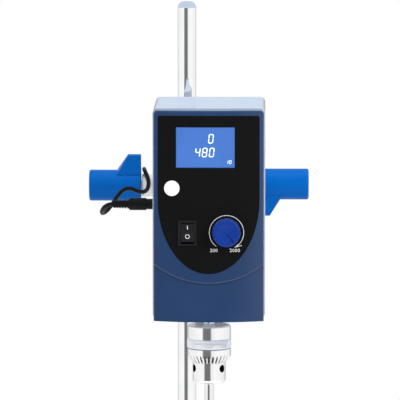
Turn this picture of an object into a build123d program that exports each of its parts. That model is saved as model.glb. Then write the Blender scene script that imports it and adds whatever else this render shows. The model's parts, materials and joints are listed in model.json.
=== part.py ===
from build123d import *
from math import cos, degrees, pi, radians, sin, sqrt, tan
import os

# Overhead stirrer: a drive head with a keyed chuck, held by a cross clamp on a plate stand.
# Millimetres, +Z up. The origin lies on the bench under the middle of the base plate, the
# front of the head faces -Y, and +X is to the right when looking at the front.

# Stand
BASE_WIDTH = 200.0
BASE_DEPTH = 320.0
BASE_THICKNESS = 8.0
BASE_CORNER = 14.0
BASE_EDGE = 1.2
MAT_THICKNESS = 4.0
MAT_INSET = 3.0
MAT_EDGE = 0.8
MAT_HOLE_RADIUS = 9.0
ROD_RADIUS = 8.0
ROD_LENGTH = 680.0
ROD_DOME = 5.5
ROD_TO_BACK_EDGE = 20.0
BOLT_RADIUS = 4.0
BOLT_DEPTH = 18.0
BOLT_HEAD_RADIUS = 7.0
BOLT_HEAD_HEIGHT = 3.6
BOLT_KEY_RADIUS = 2.6

# Clearances
SLIDE_FIT = 0.05
THREAD_FIT = 0.05
SPIN_FIT = 0.03
SEAT_GAP = 0.02
LOOSE_GAP = 0.25

# Cross clamp
CLAMP_HEIGHT = 531.5
CLAMP_WALL = 6.5
CLAMP_WEB = 5.0
CLAMP_TALL = 42.0
CLAMP_ARM_FRONT = 20.0
CLAMP_ARM_BACK = 34.0
ARM_SCREW_SETBACK = 12.0
HUB_RADIUS = 10.0
HUB_REACH = 31.0
HUB_CHAMFER = 0.8
SCREW_RADIUS = 4.0
SCREW_PITCH = 1.25
PAD_THICKNESS = 3.0
PAD_PIN_RADIUS = 1.5
PAD_PIN_LENGTH = 3.0

# Clamp knobs
KNOB_TO_HUB = 0.9
KNOB_RADIUS = 13.5
KNOB_LENGTH = 45.2
KNOB_RIM = 1.8
KNOB_SOCKET = 24.0
WING_TIP_RADIUS = 27.8
WING_ROOT_WIDTH = 20.5
WING_TIP_WIDTH = 11.2
WING_ROOT_THICKNESS = 16.0
WING_TIP_THICKNESS = 4.5
WING_EDGE = 0.8
LEFT_WING_ANGLE = 12.0
RIGHT_WING_ANGLE = 168.0

# Support arm
ARM_RADIUS = 8.0
ARM_LENGTH = 108.0
ARM_CHAMFER = 1.0
FLANGE_RADIUS = 19.0
FLANGE_THICKNESS = 6.0
FLANGE_SCREWS = 4
FLANGE_SCREW_CIRCLE = 13.5
FLANGE_SCREW_RADIUS = 1.5
SCREW_ROOT = 0.5
FLANGE_SCREW_HEAD = 2.8
FLANGE_SCREW_HEAD_HEIGHT = 1.8
BACKING_SIDE = 44.0
BACKING_THICKNESS = 4.0

# Head housing
ROD_TO_HOUSING = 38.0
HOUSING_BELOW_ARM = 95.5
HOUSING_HEIGHT = 176.0
HOUSING_WIDTH = 94.0
HOUSING_DEPTH = 124.0
HOUSING_WALL = 3.0
HOUSING_CORNER = 4.0
HOUSING_EDGE = 1.5
SPINDLE_TO_BACK = 102.0
BOSS_RADIUS = 3.6
BOSS_INSET = 5.2
CASE_SCREW_RADIUS = 1.4
CASE_SCREW_HEAD = 2.7
CASE_HEAD_HEIGHT = 1.6
CASE_HEAD_EDGE = 0.7
CASE_SCREW_LENGTH = 14.0

# Front cover
COVER_WIDTH = 91.7
COVER_DEPTH = 23.0
COVER_WALL = 2.5
COVER_CORNER = 3.2
COVER_EDGE = 1.3
FRONT_BULGE = 2.5
FRONT_SKIN = 6.5
SHIELD_STEP = 1.8
SHIELD_EDGE = 1.2
CREASE_END_HEIGHT = 50.2
CREASE_LOW_HEIGHT = 31.4
CHIN_DROP = 0.9

# Control panel
PANEL_THICKNESS = 1.0
PANEL_HALF_WIDTH = 42.3
PANEL_TO_TOP = 4.2
PANEL_CORNER = 1.6
PANEL_STRAIGHT_HEIGHT = 102.0
PANEL_LOW_HEIGHT = 39.8
PANEL_FIT = 0.15
LCD_WIDTH = 48.6
LCD_HEIGHT = 33.6
LCD_X = -2.7
LCD_ABOVE_BOTTOM = 145.3
LCD_FRAME = 2.0
LCD_FRAME_DEPTH = 6.0
LCD_LEG_RADIUS = 1.5
LCD_LEG_INSET = 4.0
LENS_GAP = 0.15

# Buttons and switches
BUTTON_RADIUS = 6.4
BUTTON_X = -30.5
BUTTON_ABOVE_BOTTOM = 111.4
BUTTON_PROUD = 1.4
BUTTON_TRAVEL = 0.5
BUTTON_LIP = 1.0
BUTTON_SLEEVE = 0.2
TACT_SIDE = 6.0
TACT_HEIGHT = 3.4
TACT_PIN_RADIUS = 1.7
ROCKER_X = -17.5
ROCKER_ABOVE_BOTTOM = 74.1
BEZEL_WIDTH = 15.6
BEZEL_HEIGHT = 21.0
BEZEL_PROUD = 1.8
BEZEL_CORNER = 1.0
SWITCH_BODY_WIDTH = 12.6
SWITCH_BODY_HEIGHT = 18.6
SWITCH_SURROUND = 1.5
SWITCH_BODY_DEPTH = 17.0
SWITCH_LUG_LENGTH = 6.0
LUG_SPACING = 6.0
LUG_WIDTH = 4.8
LUG_THICKNESS = 0.8
ROCKER_WIDTH = 10.6
ROCKER_HALF_LENGTH = 7.5
ROCKER_THROW = 15.0
ROCKER_FACE = 3.1
ROCKER_BACK = 3.6
ROCKER_SUNK = 0.3
ROCKER_END_RISE = 1.2
ROCKER_UNDER_GAP = 1.6
ROCKER_FLANK = 1.2
ROCKER_FOOT = 2.5
PIN_ROOT = 0.5
PIN_REACH = 1.2
BEZEL_CHAMFER = 0.6
ROCKER_PIN_RADIUS = 1.0
ROCKER_SIDE_GAP = 0.25

# Speed knob
DIAL_X = 14.8
DIAL_ABOVE_BOTTOM = 75.0
DIAL_RADIUS = 12.0
DIAL_TOP_RADIUS = 11.2
DIAL_HEIGHT = 12.0
DIAL_TO_PANEL = 0.9
DIAL_ROUND = 1.6
POINTER_WIDTH = 1.2
POINTER_DEPTH = 0.5
POINTER_ANGLE = -50.0
DIAL_SHAFT_RADIUS = 3.0
DIAL_CAP = 4.0
DISH_RADIUS = 40.0
DISH_DEPTH = 0.8
BUSHING_RADIUS = 3.5
ENCODER_WIDTH = 12.0
ENCODER_HEIGHT = 14.0
ENCODER_DEPTH = 7.0
PUSH_TRAVEL = 0.5
PLUNGER_RADIUS = 1.4

# Circuit board
BOARD_THICKNESS = 1.6
BOARD_TO_SKIN = 8.5
BOARD_WIDTH = 70.0
BOARD_TOP_GAP = 8.0
BOARD_LOW_HEIGHT = 60.0
POST_RADIUS = 2.6
POST_INSET = 0.4

# Drive
MOTOR_RADIUS = 28.0
MOTOR_HEIGHT = 46.0
MOTOR_SHELL = 2.0
MOTOR_ABOVE_FLOOR = 10.0
STATOR_RADIUS = 17.0
ROTOR_RADIUS = 16.6
ROTOR_HEIGHT = 24.0
SPINDLE_RADIUS = 5.0
SPINDLE_HOLE_GAP = 1.5
BEARING_RADIUS = 11.0
BEARING_MID_RADIUS = 8.0
BEARING_HEIGHT = 8.0
SEAL_RADIUS = 17.0
SEAL_THICKNESS = 2.5

# Power inlet and its plug
JACK_TO_BACK = 42.0
JACK_ABOVE_BOTTOM = 87.4
JACK_RADIUS = 4.6
JACK_DEPTH = 13.0
JACK_RIM_RADIUS = 5.6
JACK_RIM = 1.6
JACK_PIN_RADIUS = 1.0
PLUG_TUBE_RADIUS = 2.75
PLUG_TUBE_BORE = 1.25
PLUG_TUBE_LENGTH = 9.0
PLUG_END_GAP = 0.5
COLLAR_RADIUS = 4.5
COLLAR_LENGTH = 5.6
GRIP_RADIUS = 5.3
GRIP_LENGTH = 14.8
RELIEF_RADIUS = 4.0
RELIEF_TIP_RADIUS = 3.5
RELIEF_LENGTH = 14.0
RELIEF_RIBS = 6
RIB_HEIGHT = 0.5
RIB_SHARE = 0.6
GRIP_EDGE = 0.7

# Chuck
CHUCK_RADIUS = 18.35
CHUCK_BELOW_HOUSING = 8.3
CHUCK_FLANGE = 11.0
CHUCK_HEIGHT = 49.3
CHUCK_EDGE = 1.0
NOSE_RADIUS = 13.85
NOSE_ROUND = 3.2
SLEEVE_KNURL = 8.4
SLEEVE_LENGTH = 20.5
SLEEVE_GROOVE = 0.5
SLEEVE_WALL = 1.65
BEVEL_HEIGHT = 5.0
INNER_BEVEL = 0.6
NUT_LIFT = 1.0
TEETH = 32
TOOTH_DEPTH = 1.5
TOOTH_WIDTH = 2.0
SPINDLE_SEAT = 12.0
SHAFT_BORE_RADIUS = 5.2
SHAFT_BORE_DEPTH = 26.0
JAW_RADIUS = 2.8
JAW_TILT = 15.0
JAW_NOSE_RADIUS = 4.5
JAW_REACH = 28.0
JAW_TRAVEL = 3.8
JAW_INSET = 0.6
JAW_PITCH = 1.27
KEY_HOLE_RADIUS = 3.3
KEY_HOLE_DEPTH = 6.0
KEY_HOLE_HEIGHT = 13.0
CHUCK_TURN = -6.7
NUT_HEIGHT = 5.5
NUT_GAP = 0.15

# Stirring shaft and propeller
SHAFT_RADIUS = 4.0
SHAFT_LENGTH = 350.0
SHAFT_GRIP = 25.0
SHAFT_CHAMFER = 0.6
PROP_RADIUS = 25.0
PROP_HUB_RADIUS = 7.5
PROP_HUB_HEIGHT = 12.0
PROP_BLADES = 4
PROP_PITCH = 42.0
BLADE_WIDTH = 14.0
BLADE_THICKNESS = 1.6
PROP_SCREW_RADIUS = 1.6
PROP_SCREW_SUNK = 0.4

# Power lead and adapter
CORD_RADIUS = 1.8
COIL_MEAN_RADIUS = 21.0
COIL_ROWS = 3
COIL_LAYERS = 2
COIL_X = -22.0
COIL_TO_ROD = 66.0
ADAPTER_WIDTH = 34.0
ADAPTER_LENGTH = 62.0
ADAPTER_HEIGHT = 28.0
ADAPTER_TO_COIL = 26.0
ADAPTER_EXIT = 8.0
ADAPTER_SHIFT = 1.0
ADAPTER_CORNER = 5.0
ADAPTER_EDGE = 2.0
PIN_RADIUS = 2.0
PIN_LENGTH = 18.0
PIN_SPACING = 19.0

# Places worked out from the sizes
BASE_TOP = MAT_THICKNESS + BASE_THICKNESS
ROD_X = 0.0
ROD_Y = BASE_DEPTH / 2 - ROD_TO_BACK_EDGE
HEAD_X = ROD_X + ROD_RADIUS + CLAMP_WEB + ARM_RADIUS
ARM_SCREW_Y = ROD_Y + ARM_SCREW_SETBACK
HUB_LEFT = ROD_X - ROD_RADIUS - HUB_REACH
HUB_RIGHT = HEAD_X + ARM_RADIUS + HUB_REACH
HOUSING_BACK = ROD_Y - ROD_TO_HOUSING
SPLIT_Y = HOUSING_BACK - HOUSING_DEPTH
FRONT_Y = SPLIT_Y - COVER_DEPTH
HOUSING_BOTTOM = CLAMP_HEIGHT - HOUSING_BELOW_ARM
HOUSING_TOP = HOUSING_BOTTOM + HOUSING_HEIGHT
SPINDLE_Y = HOUSING_BACK - SPINDLE_TO_BACK
FRONT_RADIUS = ((COVER_WIDTH / 2) ** 2 + FRONT_BULGE**2) / (2 * FRONT_BULGE)
SKIN_Y = FRONT_Y + FRONT_SKIN
BOARD_Y = SKIN_Y + BOARD_TO_SKIN
PANEL_TOP = HOUSING_TOP - PANEL_TO_TOP
PANEL_STRAIGHT = HOUSING_BOTTOM + PANEL_STRAIGHT_HEIGHT
LCD_Z = HOUSING_BOTTOM + LCD_ABOVE_BOTTOM
BUTTON_Z = HOUSING_BOTTOM + BUTTON_ABOVE_BOTTOM
ROCKER_Z = HOUSING_BOTTOM + ROCKER_ABOVE_BOTTOM
DIAL_Z = HOUSING_BOTTOM + DIAL_ABOVE_BOTTOM
JACK_Y = HOUSING_BACK - JACK_TO_BACK
JACK_Z = HOUSING_BOTTOM + JACK_ABOVE_BOTTOM
HOUSING_LEFT = HEAD_X - HOUSING_WIDTH / 2
HOUSING_RIGHT = HEAD_X + HOUSING_WIDTH / 2
MOTOR_BOTTOM = HOUSING_BOTTOM + HOUSING_WALL + MOTOR_ABOVE_FLOOR
MOTOR_TOP = MOTOR_BOTTOM + MOTOR_HEIGHT
CHUCK_TOP = HOUSING_BOTTOM - CHUCK_BELOW_HOUSING
NOSE_BOTTOM = CHUCK_TOP - CHUCK_HEIGHT
SLEEVE_TOP = CHUCK_TOP - CHUCK_FLANGE - SLIDE_FIT
SLEEVE_BOTTOM = SLEEVE_TOP - SLEEVE_LENGTH
SHAFT_TOP = NOSE_BOTTOM + SHAFT_GRIP
SHAFT_BOTTOM = SHAFT_TOP - SHAFT_LENGTH
RIM_X = HOUSING_LEFT - JACK_RIM
PLUG_END_X = RIM_X - COLLAR_LENGTH - GRIP_LENGTH - RELIEF_LENGTH
COIL_Y = ROD_Y + COIL_TO_ROD
COIL_OUTER = COIL_MEAN_RADIUS + COIL_ROWS * CORD_RADIUS
COIL_INNER = COIL_MEAN_RADIUS - COIL_ROWS * CORD_RADIUS
COIL_HEIGHT = 2 * CORD_RADIUS * COIL_LAYERS


def block(x0, x1, y0, y1, z0, z1):
    """Box between two corners."""
    return Pos((x0 + x1) / 2, (y0 + y1) / 2, (z0 + z1) / 2) * Box(x1 - x0, y1 - y0, z1 - z0)


def bar_x(radius, y, z, x0, x1):
    """Round bar along X."""
    return Pos((x0 + x1) / 2, y, z) * Rot(0, 90, 0) * Cylinder(radius, abs(x1 - x0))


def bar_y(radius, x, z, y0, y1):
    """Round bar along Y."""
    return Pos(x, (y0 + y1) / 2, z) * Rot(90, 0, 0) * Cylinder(radius, y1 - y0)


def bar_z(radius, x, y, z0, z1):
    """Round bar along Z."""
    return Pos(x, y, (z0 + z1) / 2) * Cylinder(radius, z1 - z0)


def turned(outline, x, y):
    """Solid of revolution about a vertical line, from (radius, height) points."""
    half = make_face(Plane.XZ * Polyline(*outline, close=True))
    return Pos(x, y, 0) * revolve(half, Axis.Z)


def front_prism(sketch, y0, y1):
    """Outline drawn in the front view, pushed from y1 forward to y0."""
    return extrude(Plane.XZ.offset(-y1) * sketch, y1 - y0)


def drum(inset):
    """Upright drum whose skin is the bulged front, moved back by an inset."""
    centre = FRONT_Y + FRONT_RADIUS
    return bar_z(FRONT_RADIUS - inset, HEAD_X, centre, HOUSING_BOTTOM - 20, HOUSING_TOP + 20)


def bulge_back(x):
    """How far the bulged front lies behind its middle at a distance from the middle."""
    return FRONT_RADIUS - sqrt(FRONT_RADIUS**2 - x**2)


# Stand


def base_plate():
    half = BASE_WIDTH / 2
    depth = BASE_DEPTH / 2
    plate = block(-half, half, -depth, depth, MAT_THICKNESS, BASE_TOP)
    plate = fillet(plate.edges().filter_by(Axis.Z), BASE_CORNER)
    plate = chamfer(plate.faces().sort_by(Axis.Z)[-1].edges(), BASE_EDGE)
    plate -= bar_z(BOLT_RADIUS + SEAT_GAP, ROD_X, ROD_Y, 0, BASE_TOP + 1)
    head_room = MAT_THICKNESS + BOLT_HEAD_HEIGHT
    plate -= bar_z(BOLT_HEAD_RADIUS + LOOSE_GAP, ROD_X, ROD_Y, 0, head_room)
    return plate


def rubber_mat():
    half = BASE_WIDTH / 2 - MAT_INSET
    depth = BASE_DEPTH / 2 - MAT_INSET
    mat = block(-half, half, -depth, depth, 0, MAT_THICKNESS)
    mat = fillet(mat.edges().filter_by(Axis.Z), BASE_CORNER - MAT_INSET)
    mat = chamfer(mat.faces().sort_by(Axis.Z)[0].edges(), MAT_EDGE)
    return mat - bar_z(MAT_HOLE_RADIUS, ROD_X, ROD_Y, -1, MAT_THICKNESS + 1)


def stand_rod():
    top = BASE_TOP + ROD_LENGTH
    rod = bar_z(ROD_RADIUS, ROD_X, ROD_Y, BASE_TOP, top)
    rod = fillet(rod.faces().sort_by(Axis.Z)[-1].edges(), ROD_DOME)
    rod -= bar_z(BOLT_RADIUS + THREAD_FIT, ROD_X, ROD_Y, BASE_TOP - 1, BASE_TOP + BOLT_DEPTH + 1)
    return rod


def rod_bolt():
    head_top = MAT_THICKNESS + BOLT_HEAD_HEIGHT
    bolt = bar_z(BOLT_RADIUS, ROD_X, ROD_Y, head_top - 1, BASE_TOP + BOLT_DEPTH)
    bolt += bar_z(BOLT_HEAD_RADIUS, ROD_X, ROD_Y, MAT_THICKNESS + SEAT_GAP, head_top - SEAT_GAP)
    key = Pos(ROD_X, ROD_Y, 0) * extrude(RegularPolygon(BOLT_KEY_RADIUS, 6), MAT_THICKNESS + 2)
    return bolt - key


# Cross clamp


def clamp_body():
    tall = CLAMP_TALL / 2
    low = CLAMP_HEIGHT - tall
    high = CLAMP_HEIGHT + tall
    front = ROD_Y - CLAMP_ARM_FRONT
    back = ROD_Y + CLAMP_ARM_BACK
    arm_wall = ARM_RADIUS + CLAMP_WALL
    rod_wall = ROD_RADIUS + CLAMP_WALL
    body = bar_z(rod_wall, ROD_X, ROD_Y, low, high)
    body = chamfer(body.edges().filter_by(GeomType.CIRCLE), HUB_CHAMFER)
    arm_sleeve = bar_y(arm_wall, HEAD_X, CLAMP_HEIGHT, front, back)
    arm_sleeve = chamfer(arm_sleeve.edges().filter_by(GeomType.CIRCLE), HUB_CHAMFER)
    body += arm_sleeve
    left = bar_x(HUB_RADIUS, ROD_Y, CLAMP_HEIGHT, HUB_LEFT, ROD_X)
    right = bar_x(HUB_RADIUS, ARM_SCREW_Y, CLAMP_HEIGHT, HEAD_X, HUB_RIGHT)
    body += chamfer(left.faces().sort_by(Axis.X)[0].edges(), HUB_CHAMFER)
    body += chamfer(right.faces().sort_by(Axis.X)[-1].edges(), HUB_CHAMFER)
    body -= bar_z(ROD_RADIUS + SLIDE_FIT, ROD_X, ROD_Y, low - 1, high + 1)
    body -= bar_y(ARM_RADIUS + SLIDE_FIT, HEAD_X, CLAMP_HEIGHT, front - 1, back + 1)
    hole = SCREW_RADIUS + THREAD_FIT
    body -= bar_x(hole, ROD_Y, CLAMP_HEIGHT, HUB_LEFT - 1, ROD_X)
    body -= bar_x(hole, ARM_SCREW_Y, CLAMP_HEIGHT, HEAD_X, HUB_RIGHT + 1)
    return body


def thrust_pad(y):
    """Brass pad at the tip of a clamp screw, drawn for the left side with the rod at x = 0."""
    face = -ROD_RADIUS - SEAT_GAP
    pad = bar_x(SCREW_RADIUS - SEAT_GAP, y, CLAMP_HEIGHT, face - PAD_THICKNESS, face)
    back = face - PAD_THICKNESS
    pad += bar_x(PAD_PIN_RADIUS, y, CLAMP_HEIGHT, back - PAD_PIN_LENGTH, back)
    return pad


def clamp_screw(y):
    """Threaded screw from the pad into the knob, drawn for the left side."""
    tip = -ROD_RADIUS - SEAT_GAP - PAD_THICKNESS - SEAT_GAP
    end = -ROD_RADIUS - HUB_REACH - KNOB_TO_HUB - KNOB_SOCKET
    screw = bar_x(SCREW_RADIUS, y, CLAMP_HEIGHT, end, tip)
    pin_hole = PAD_PIN_RADIUS + SPIN_FIT
    pin_end = tip - PAD_PIN_LENGTH - LOOSE_GAP
    return screw - bar_x(pin_hole, y, CLAMP_HEIGHT, pin_end, tip + 1)


def wing_knob(y, wing_angle):
    """Barrel knob with one wing, drawn for the left side; the angle is from +Z towards -Y."""
    inner = -ROD_RADIUS - HUB_REACH - KNOB_TO_HUB
    outer = inner - KNOB_LENGTH
    barrel = bar_x(KNOB_RADIUS, 0, 0, outer, inner)
    rim = barrel.faces().sort_by(Axis.X)[0].edges()
    barrel = fillet(rim, KNOB_RIM)
    barrel = chamfer(barrel.faces().sort_by(Axis.X)[-1].edges(), HUB_CHAMFER)
    root = Plane.XY * Pos(inner - WING_ROOT_WIDTH / 2, 0) * Rectangle(
        WING_ROOT_WIDTH, WING_ROOT_THICKNESS
    )
    tip = Plane.XY.offset(WING_TIP_RADIUS) * Pos(inner - WING_TIP_WIDTH / 2, 0) * Rectangle(
        WING_TIP_WIDTH, WING_TIP_THICKNESS
    )
    lower = Plane.XY.offset(KNOB_RADIUS - 1) * Pos(inner - WING_ROOT_WIDTH / 2, 0) * Rectangle(
        WING_ROOT_WIDTH, WING_ROOT_THICKNESS
    )
    wing = loft([lower, tip]) + extrude(root, KNOB_RADIUS - 1)
    wing = fillet(wing.edges().group_by(Axis.Z)[-1], WING_EDGE)
    knob = barrel + wing
    knob -= bar_x(SCREW_RADIUS + SEAT_GAP, 0, 0, inner - KNOB_SOCKET - SEAT_GAP, inner + 1)
    return Pos(0, y, CLAMP_HEIGHT) * Rot(wing_angle, 0, 0) * knob


def to_right(solid):
    """Mirror a left-hand clamp piece to the arm side of the clamp."""
    return Pos(HEAD_X, 0, 0) * mirror(solid, Plane.YZ)


# Support arm


def flange_ring(radius, y0, y1):
    """Short bars on the flange's screw circle."""
    bars = []
    for i in range(FLANGE_SCREWS):
        turn = radians(45 + 360 * i / FLANGE_SCREWS)
        x = HEAD_X + FLANGE_SCREW_CIRCLE * cos(turn)
        z = CLAMP_HEIGHT + FLANGE_SCREW_CIRCLE * sin(turn)
        bars.append(bar_y(radius, x, z, y0, y1))
    return bars


def support_arm():
    arm = bar_y(ARM_RADIUS, HEAD_X, CLAMP_HEIGHT, HOUSING_BACK, HOUSING_BACK + ARM_LENGTH)
    return chamfer(arm.faces().sort_by(Axis.Y)[-1].edges(), ARM_CHAMFER)


def arm_flange():
    back = HOUSING_BACK + FLANGE_THICKNESS
    flange = bar_y(FLANGE_RADIUS, HEAD_X, CLAMP_HEIGHT, HOUSING_BACK, back)
    flange = chamfer(flange.faces().sort_by(Axis.Y)[-1].edges(), HUB_CHAMFER)
    flange -= bar_y(ARM_RADIUS + SEAT_GAP, HEAD_X, CLAMP_HEIGHT, HOUSING_BACK - 1, back + 1)
    for hole in flange_ring(FLANGE_SCREW_RADIUS + SEAT_GAP, HOUSING_BACK - 1, back + 1):
        flange -= hole
    return flange


def arm_screws():
    seat = HOUSING_BACK + FLANGE_THICKNESS
    inner = HOUSING_BACK - HOUSING_WALL - BACKING_THICKNESS
    shanks = flange_ring(FLANGE_SCREW_RADIUS, inner, seat + SCREW_ROOT)
    heads = flange_ring(FLANGE_SCREW_HEAD, seat, seat + FLANGE_SCREW_HEAD_HEIGHT)
    screws = []
    for shank, head in zip(shanks, heads):
        head = fillet(head.faces().sort_by(Axis.Y)[-1].edges(), FLANGE_SCREW_HEAD_HEIGHT / 2)
        screws.append(shank + head)
    return screws


def arm_backing():
    back = HOUSING_BACK - HOUSING_WALL
    half = BACKING_SIDE / 2
    z = CLAMP_HEIGHT
    plate = block(HEAD_X - half, HEAD_X + half, back - BACKING_THICKNESS, back, z - half, z + half)
    plate = fillet(plate.edges().filter_by(Axis.Y), HOUSING_CORNER)
    for hole in flange_ring(FLANGE_SCREW_RADIUS + SEAT_GAP, back - BACKING_THICKNESS - 1, back + 1):
        plate -= hole
    return plate


# Head housing


def boss_places():
    """Corners of the case where a screw joins cover and housing."""
    places = []
    for side in (-1, 1):
        x = HEAD_X + side * (COVER_WIDTH / 2 - BOSS_INSET)
        places.append((x, HOUSING_BOTTOM + BOSS_INSET))
        places.append((x, HOUSING_TOP - BOSS_INSET))
    return places


def rear_housing():
    wall = HOUSING_WALL
    box = block(HOUSING_LEFT, HOUSING_RIGHT, SPLIT_Y, HOUSING_BACK, HOUSING_BOTTOM, HOUSING_TOP)
    box = fillet(box.edges().filter_by(Axis.Y), HOUSING_CORNER)
    box = fillet(box.faces().sort_by(Axis.Y)[-1].edges(), HOUSING_EDGE)
    inner = block(
        HOUSING_LEFT + wall,
        HOUSING_RIGHT - wall,
        SPLIT_Y - 1,
        HOUSING_BACK - wall,
        HOUSING_BOTTOM + wall,
        HOUSING_TOP - wall,
    )
    box -= inner
    for x, z in boss_places():
        boss = bar_y(BOSS_RADIUS, x, z, SPLIT_Y, HOUSING_BACK - wall)
        box += boss
    for x, z in boss_places():
        box -= bar_y(CASE_SCREW_RADIUS + THREAD_FIT, x, z, SPLIT_Y - 1, HOUSING_BACK + 1)
        box -= bar_y(CASE_SCREW_HEAD + LOOSE_GAP, x, z, HOUSING_BACK - 2, HOUSING_BACK + 1)
    floor_top = HOUSING_BOTTOM + wall
    box += bar_z(BEARING_RADIUS + wall, HEAD_X, SPINDLE_Y, HOUSING_BOTTOM, MOTOR_BOTTOM)
    box -= bar_z(BEARING_RADIUS + SEAT_GAP, HEAD_X, SPINDLE_Y, floor_top, MOTOR_BOTTOM + 1)
    box -= bar_z(SPINDLE_RADIUS + SPINDLE_HOLE_GAP, HEAD_X, SPINDLE_Y, HOUSING_BOTTOM - 1, floor_top + 1)
    box -= bar_x(JACK_RADIUS + SEAT_GAP, JACK_Y, JACK_Z, HOUSING_LEFT - 1, HOUSING_LEFT + wall + 1)
    for hole in flange_ring(FLANGE_SCREW_RADIUS + SEAT_GAP, HOUSING_BACK - wall - 1, HOUSING_BACK + 1):
        box -= hole
    return box


def case_screws():
    screws = []
    seat = HOUSING_BACK - 2
    for x, z in boss_places():
        screw = bar_y(CASE_SCREW_RADIUS, x, z, SPLIT_Y - CASE_SCREW_LENGTH, seat)
        head = bar_y(CASE_SCREW_HEAD, x, z, seat, seat + CASE_HEAD_HEIGHT)
        screws.append(screw + fillet(head.faces().sort_by(Axis.Y)[-1].edges(), CASE_HEAD_EDGE))
    return screws


# Front cover and panel


def cover_outer(step):
    """Outer form of the cover, with its front skin moved back by a step."""
    half = COVER_WIDTH / 2
    low = HOUSING_BOTTOM - CHIN_DROP
    chin = make_face(
        [
            Line((-half, HOUSING_BOTTOM), (-half, HOUSING_TOP)),
            Line((-half, HOUSING_TOP), (half, HOUSING_TOP)),
            Line((half, HOUSING_TOP), (half, HOUSING_BOTTOM)),
            ThreePointArc((half, HOUSING_BOTTOM), (0, low), (-half, HOUSING_BOTTOM)),
        ]
    )
    outer = Pos(HEAD_X, 0, 0) * front_prism(chin, FRONT_Y - 5, SPLIT_Y)
    outer = fillet(outer.edges().filter_by(Axis.Y).group_by(Axis.Z)[-1], COVER_CORNER)
    outer &= drum(step)
    front = outer.faces().sort_by(Axis.Y)[0]
    rim = [e for e in front.edges() if e.center().Z > HOUSING_BOTTOM + COVER_CORNER]
    return fillet(rim, COVER_EDGE)


def crease_region():
    """Everything above the curved crease of the cover, as a front prism."""
    half = COVER_WIDTH / 2 + 3
    end = HOUSING_BOTTOM + CREASE_END_HEIGHT
    low = HOUSING_BOTTOM + CREASE_LOW_HEIGHT
    top = HOUSING_TOP + 5
    region = make_face(
        [
            Line((-half, end), (-half, top)),
            Line((-half, top), (half, top)),
            Line((half, top), (half, end)),
            ThreePointArc((half, end), (0, low), (-half, end)),
        ]
    )
    return Pos(HEAD_X, 0, 0) * front_prism(region, FRONT_Y - 8, SPLIT_Y + 5)


def panel_outline(inset):
    """Straight-sided outline that ends in half an ellipse."""
    half = PANEL_HALF_WIDTH - inset
    top = PANEL_TOP - inset
    low = HOUSING_BOTTOM + PANEL_LOW_HEIGHT + inset
    bowl = Pos(0, PANEL_STRAIGHT) * Ellipse(half, PANEL_STRAIGHT - low)
    middle = (PANEL_STRAIGHT + top) / 2
    field = Pos(0, middle) * Rectangle(2 * half, top - PANEL_STRAIGHT)
    field = fillet(field.vertices().group_by(Axis.Y)[-1], PANEL_CORNER)
    return bowl + field


def panel_layer(outline_inset, front_inset, back_inset):
    """Sheet that follows the bulged front between two depths."""
    sheet = Pos(HEAD_X, 0, 0) * front_prism(panel_outline(outline_inset), FRONT_Y - 5, SPLIT_Y)
    return (sheet & drum(front_inset)) - drum(back_inset)


def lcd_window(inset):
    """Bar through the front in the display's outline."""
    window = Pos(HEAD_X + LCD_X, LCD_Z) * Rectangle(LCD_WIDTH - 2 * inset, LCD_HEIGHT - 2 * inset)
    return front_prism(window, FRONT_Y - 5, SKIN_Y + 1)


def front_openings():
    """What the panel and the cover are cut open for, apart from the display."""
    gap = BUTTON_SLEEVE
    width = SWITCH_BODY_WIDTH / 2 + LOOSE_GAP
    height = SWITCH_BODY_HEIGHT / 2 + LOOSE_GAP
    front = FRONT_Y - 5
    back = SKIN_Y + 1
    x = HEAD_X + ROCKER_X
    return [
        bar_y(BUTTON_RADIUS + gap, HEAD_X + BUTTON_X, BUTTON_Z, front, back),
        block(x - width, x + width, front, back, ROCKER_Z - height, ROCKER_Z + height),
        bar_y(BUSHING_RADIUS + LOOSE_GAP, HEAD_X + DIAL_X, DIAL_Z, front, back),
    ]


def front_cover():
    cover = cover_outer(SHIELD_STEP) + (cover_outer(0) & crease_region())
    front_edges = [
        e
        for e in cover.edges()
        if e.center().Y < SKIN_Y
        and e.geom_type != GeomType.LINE
        and HOUSING_BOTTOM + 5 < e.center().Z < HOUSING_BOTTOM + CREASE_END_HEIGHT
    ]
    outer_crease = sorted(front_edges, key=lambda e: e.center().Y)[:1]
    cover = fillet(outer_crease, SHIELD_EDGE)
    half = COVER_WIDTH / 2 - COVER_WALL
    hollow = block(
        HEAD_X - half,
        HEAD_X + half,
        SKIN_Y,
        SPLIT_Y + 1,
        HOUSING_BOTTOM + COVER_WALL,
        HOUSING_TOP - COVER_WALL,
    )
    cover -= hollow
    cover -= panel_layer(0, -5, PANEL_THICKNESS)
    cover -= lcd_window(0)
    for opening in front_openings():
        cover -= opening
    for x, z in boss_places():
        cover += bar_y(BOSS_RADIUS, x, z, SKIN_Y - 0.5, SPLIT_Y - SEAT_GAP)
        end = SPLIT_Y - CASE_SCREW_LENGTH - 0.5
        cover -= bar_y(CASE_SCREW_RADIUS + THREAD_FIT, x, z, end, SPLIT_Y + 1)
    for x, z in post_places():
        cover += bar_y(POST_RADIUS, x, z, SKIN_Y - 0.5, BOARD_Y)
    return cover


def control_panel():
    panel = panel_layer(PANEL_FIT, SEAT_GAP, PANEL_THICKNESS - SEAT_GAP)
    panel -= lcd_window(0)
    for opening in front_openings():
        panel -= opening
    return panel


def display_lens():
    layer = drum(SEAT_GAP) - drum(PANEL_THICKNESS)
    return lcd_window(LENS_GAP) & layer


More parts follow.
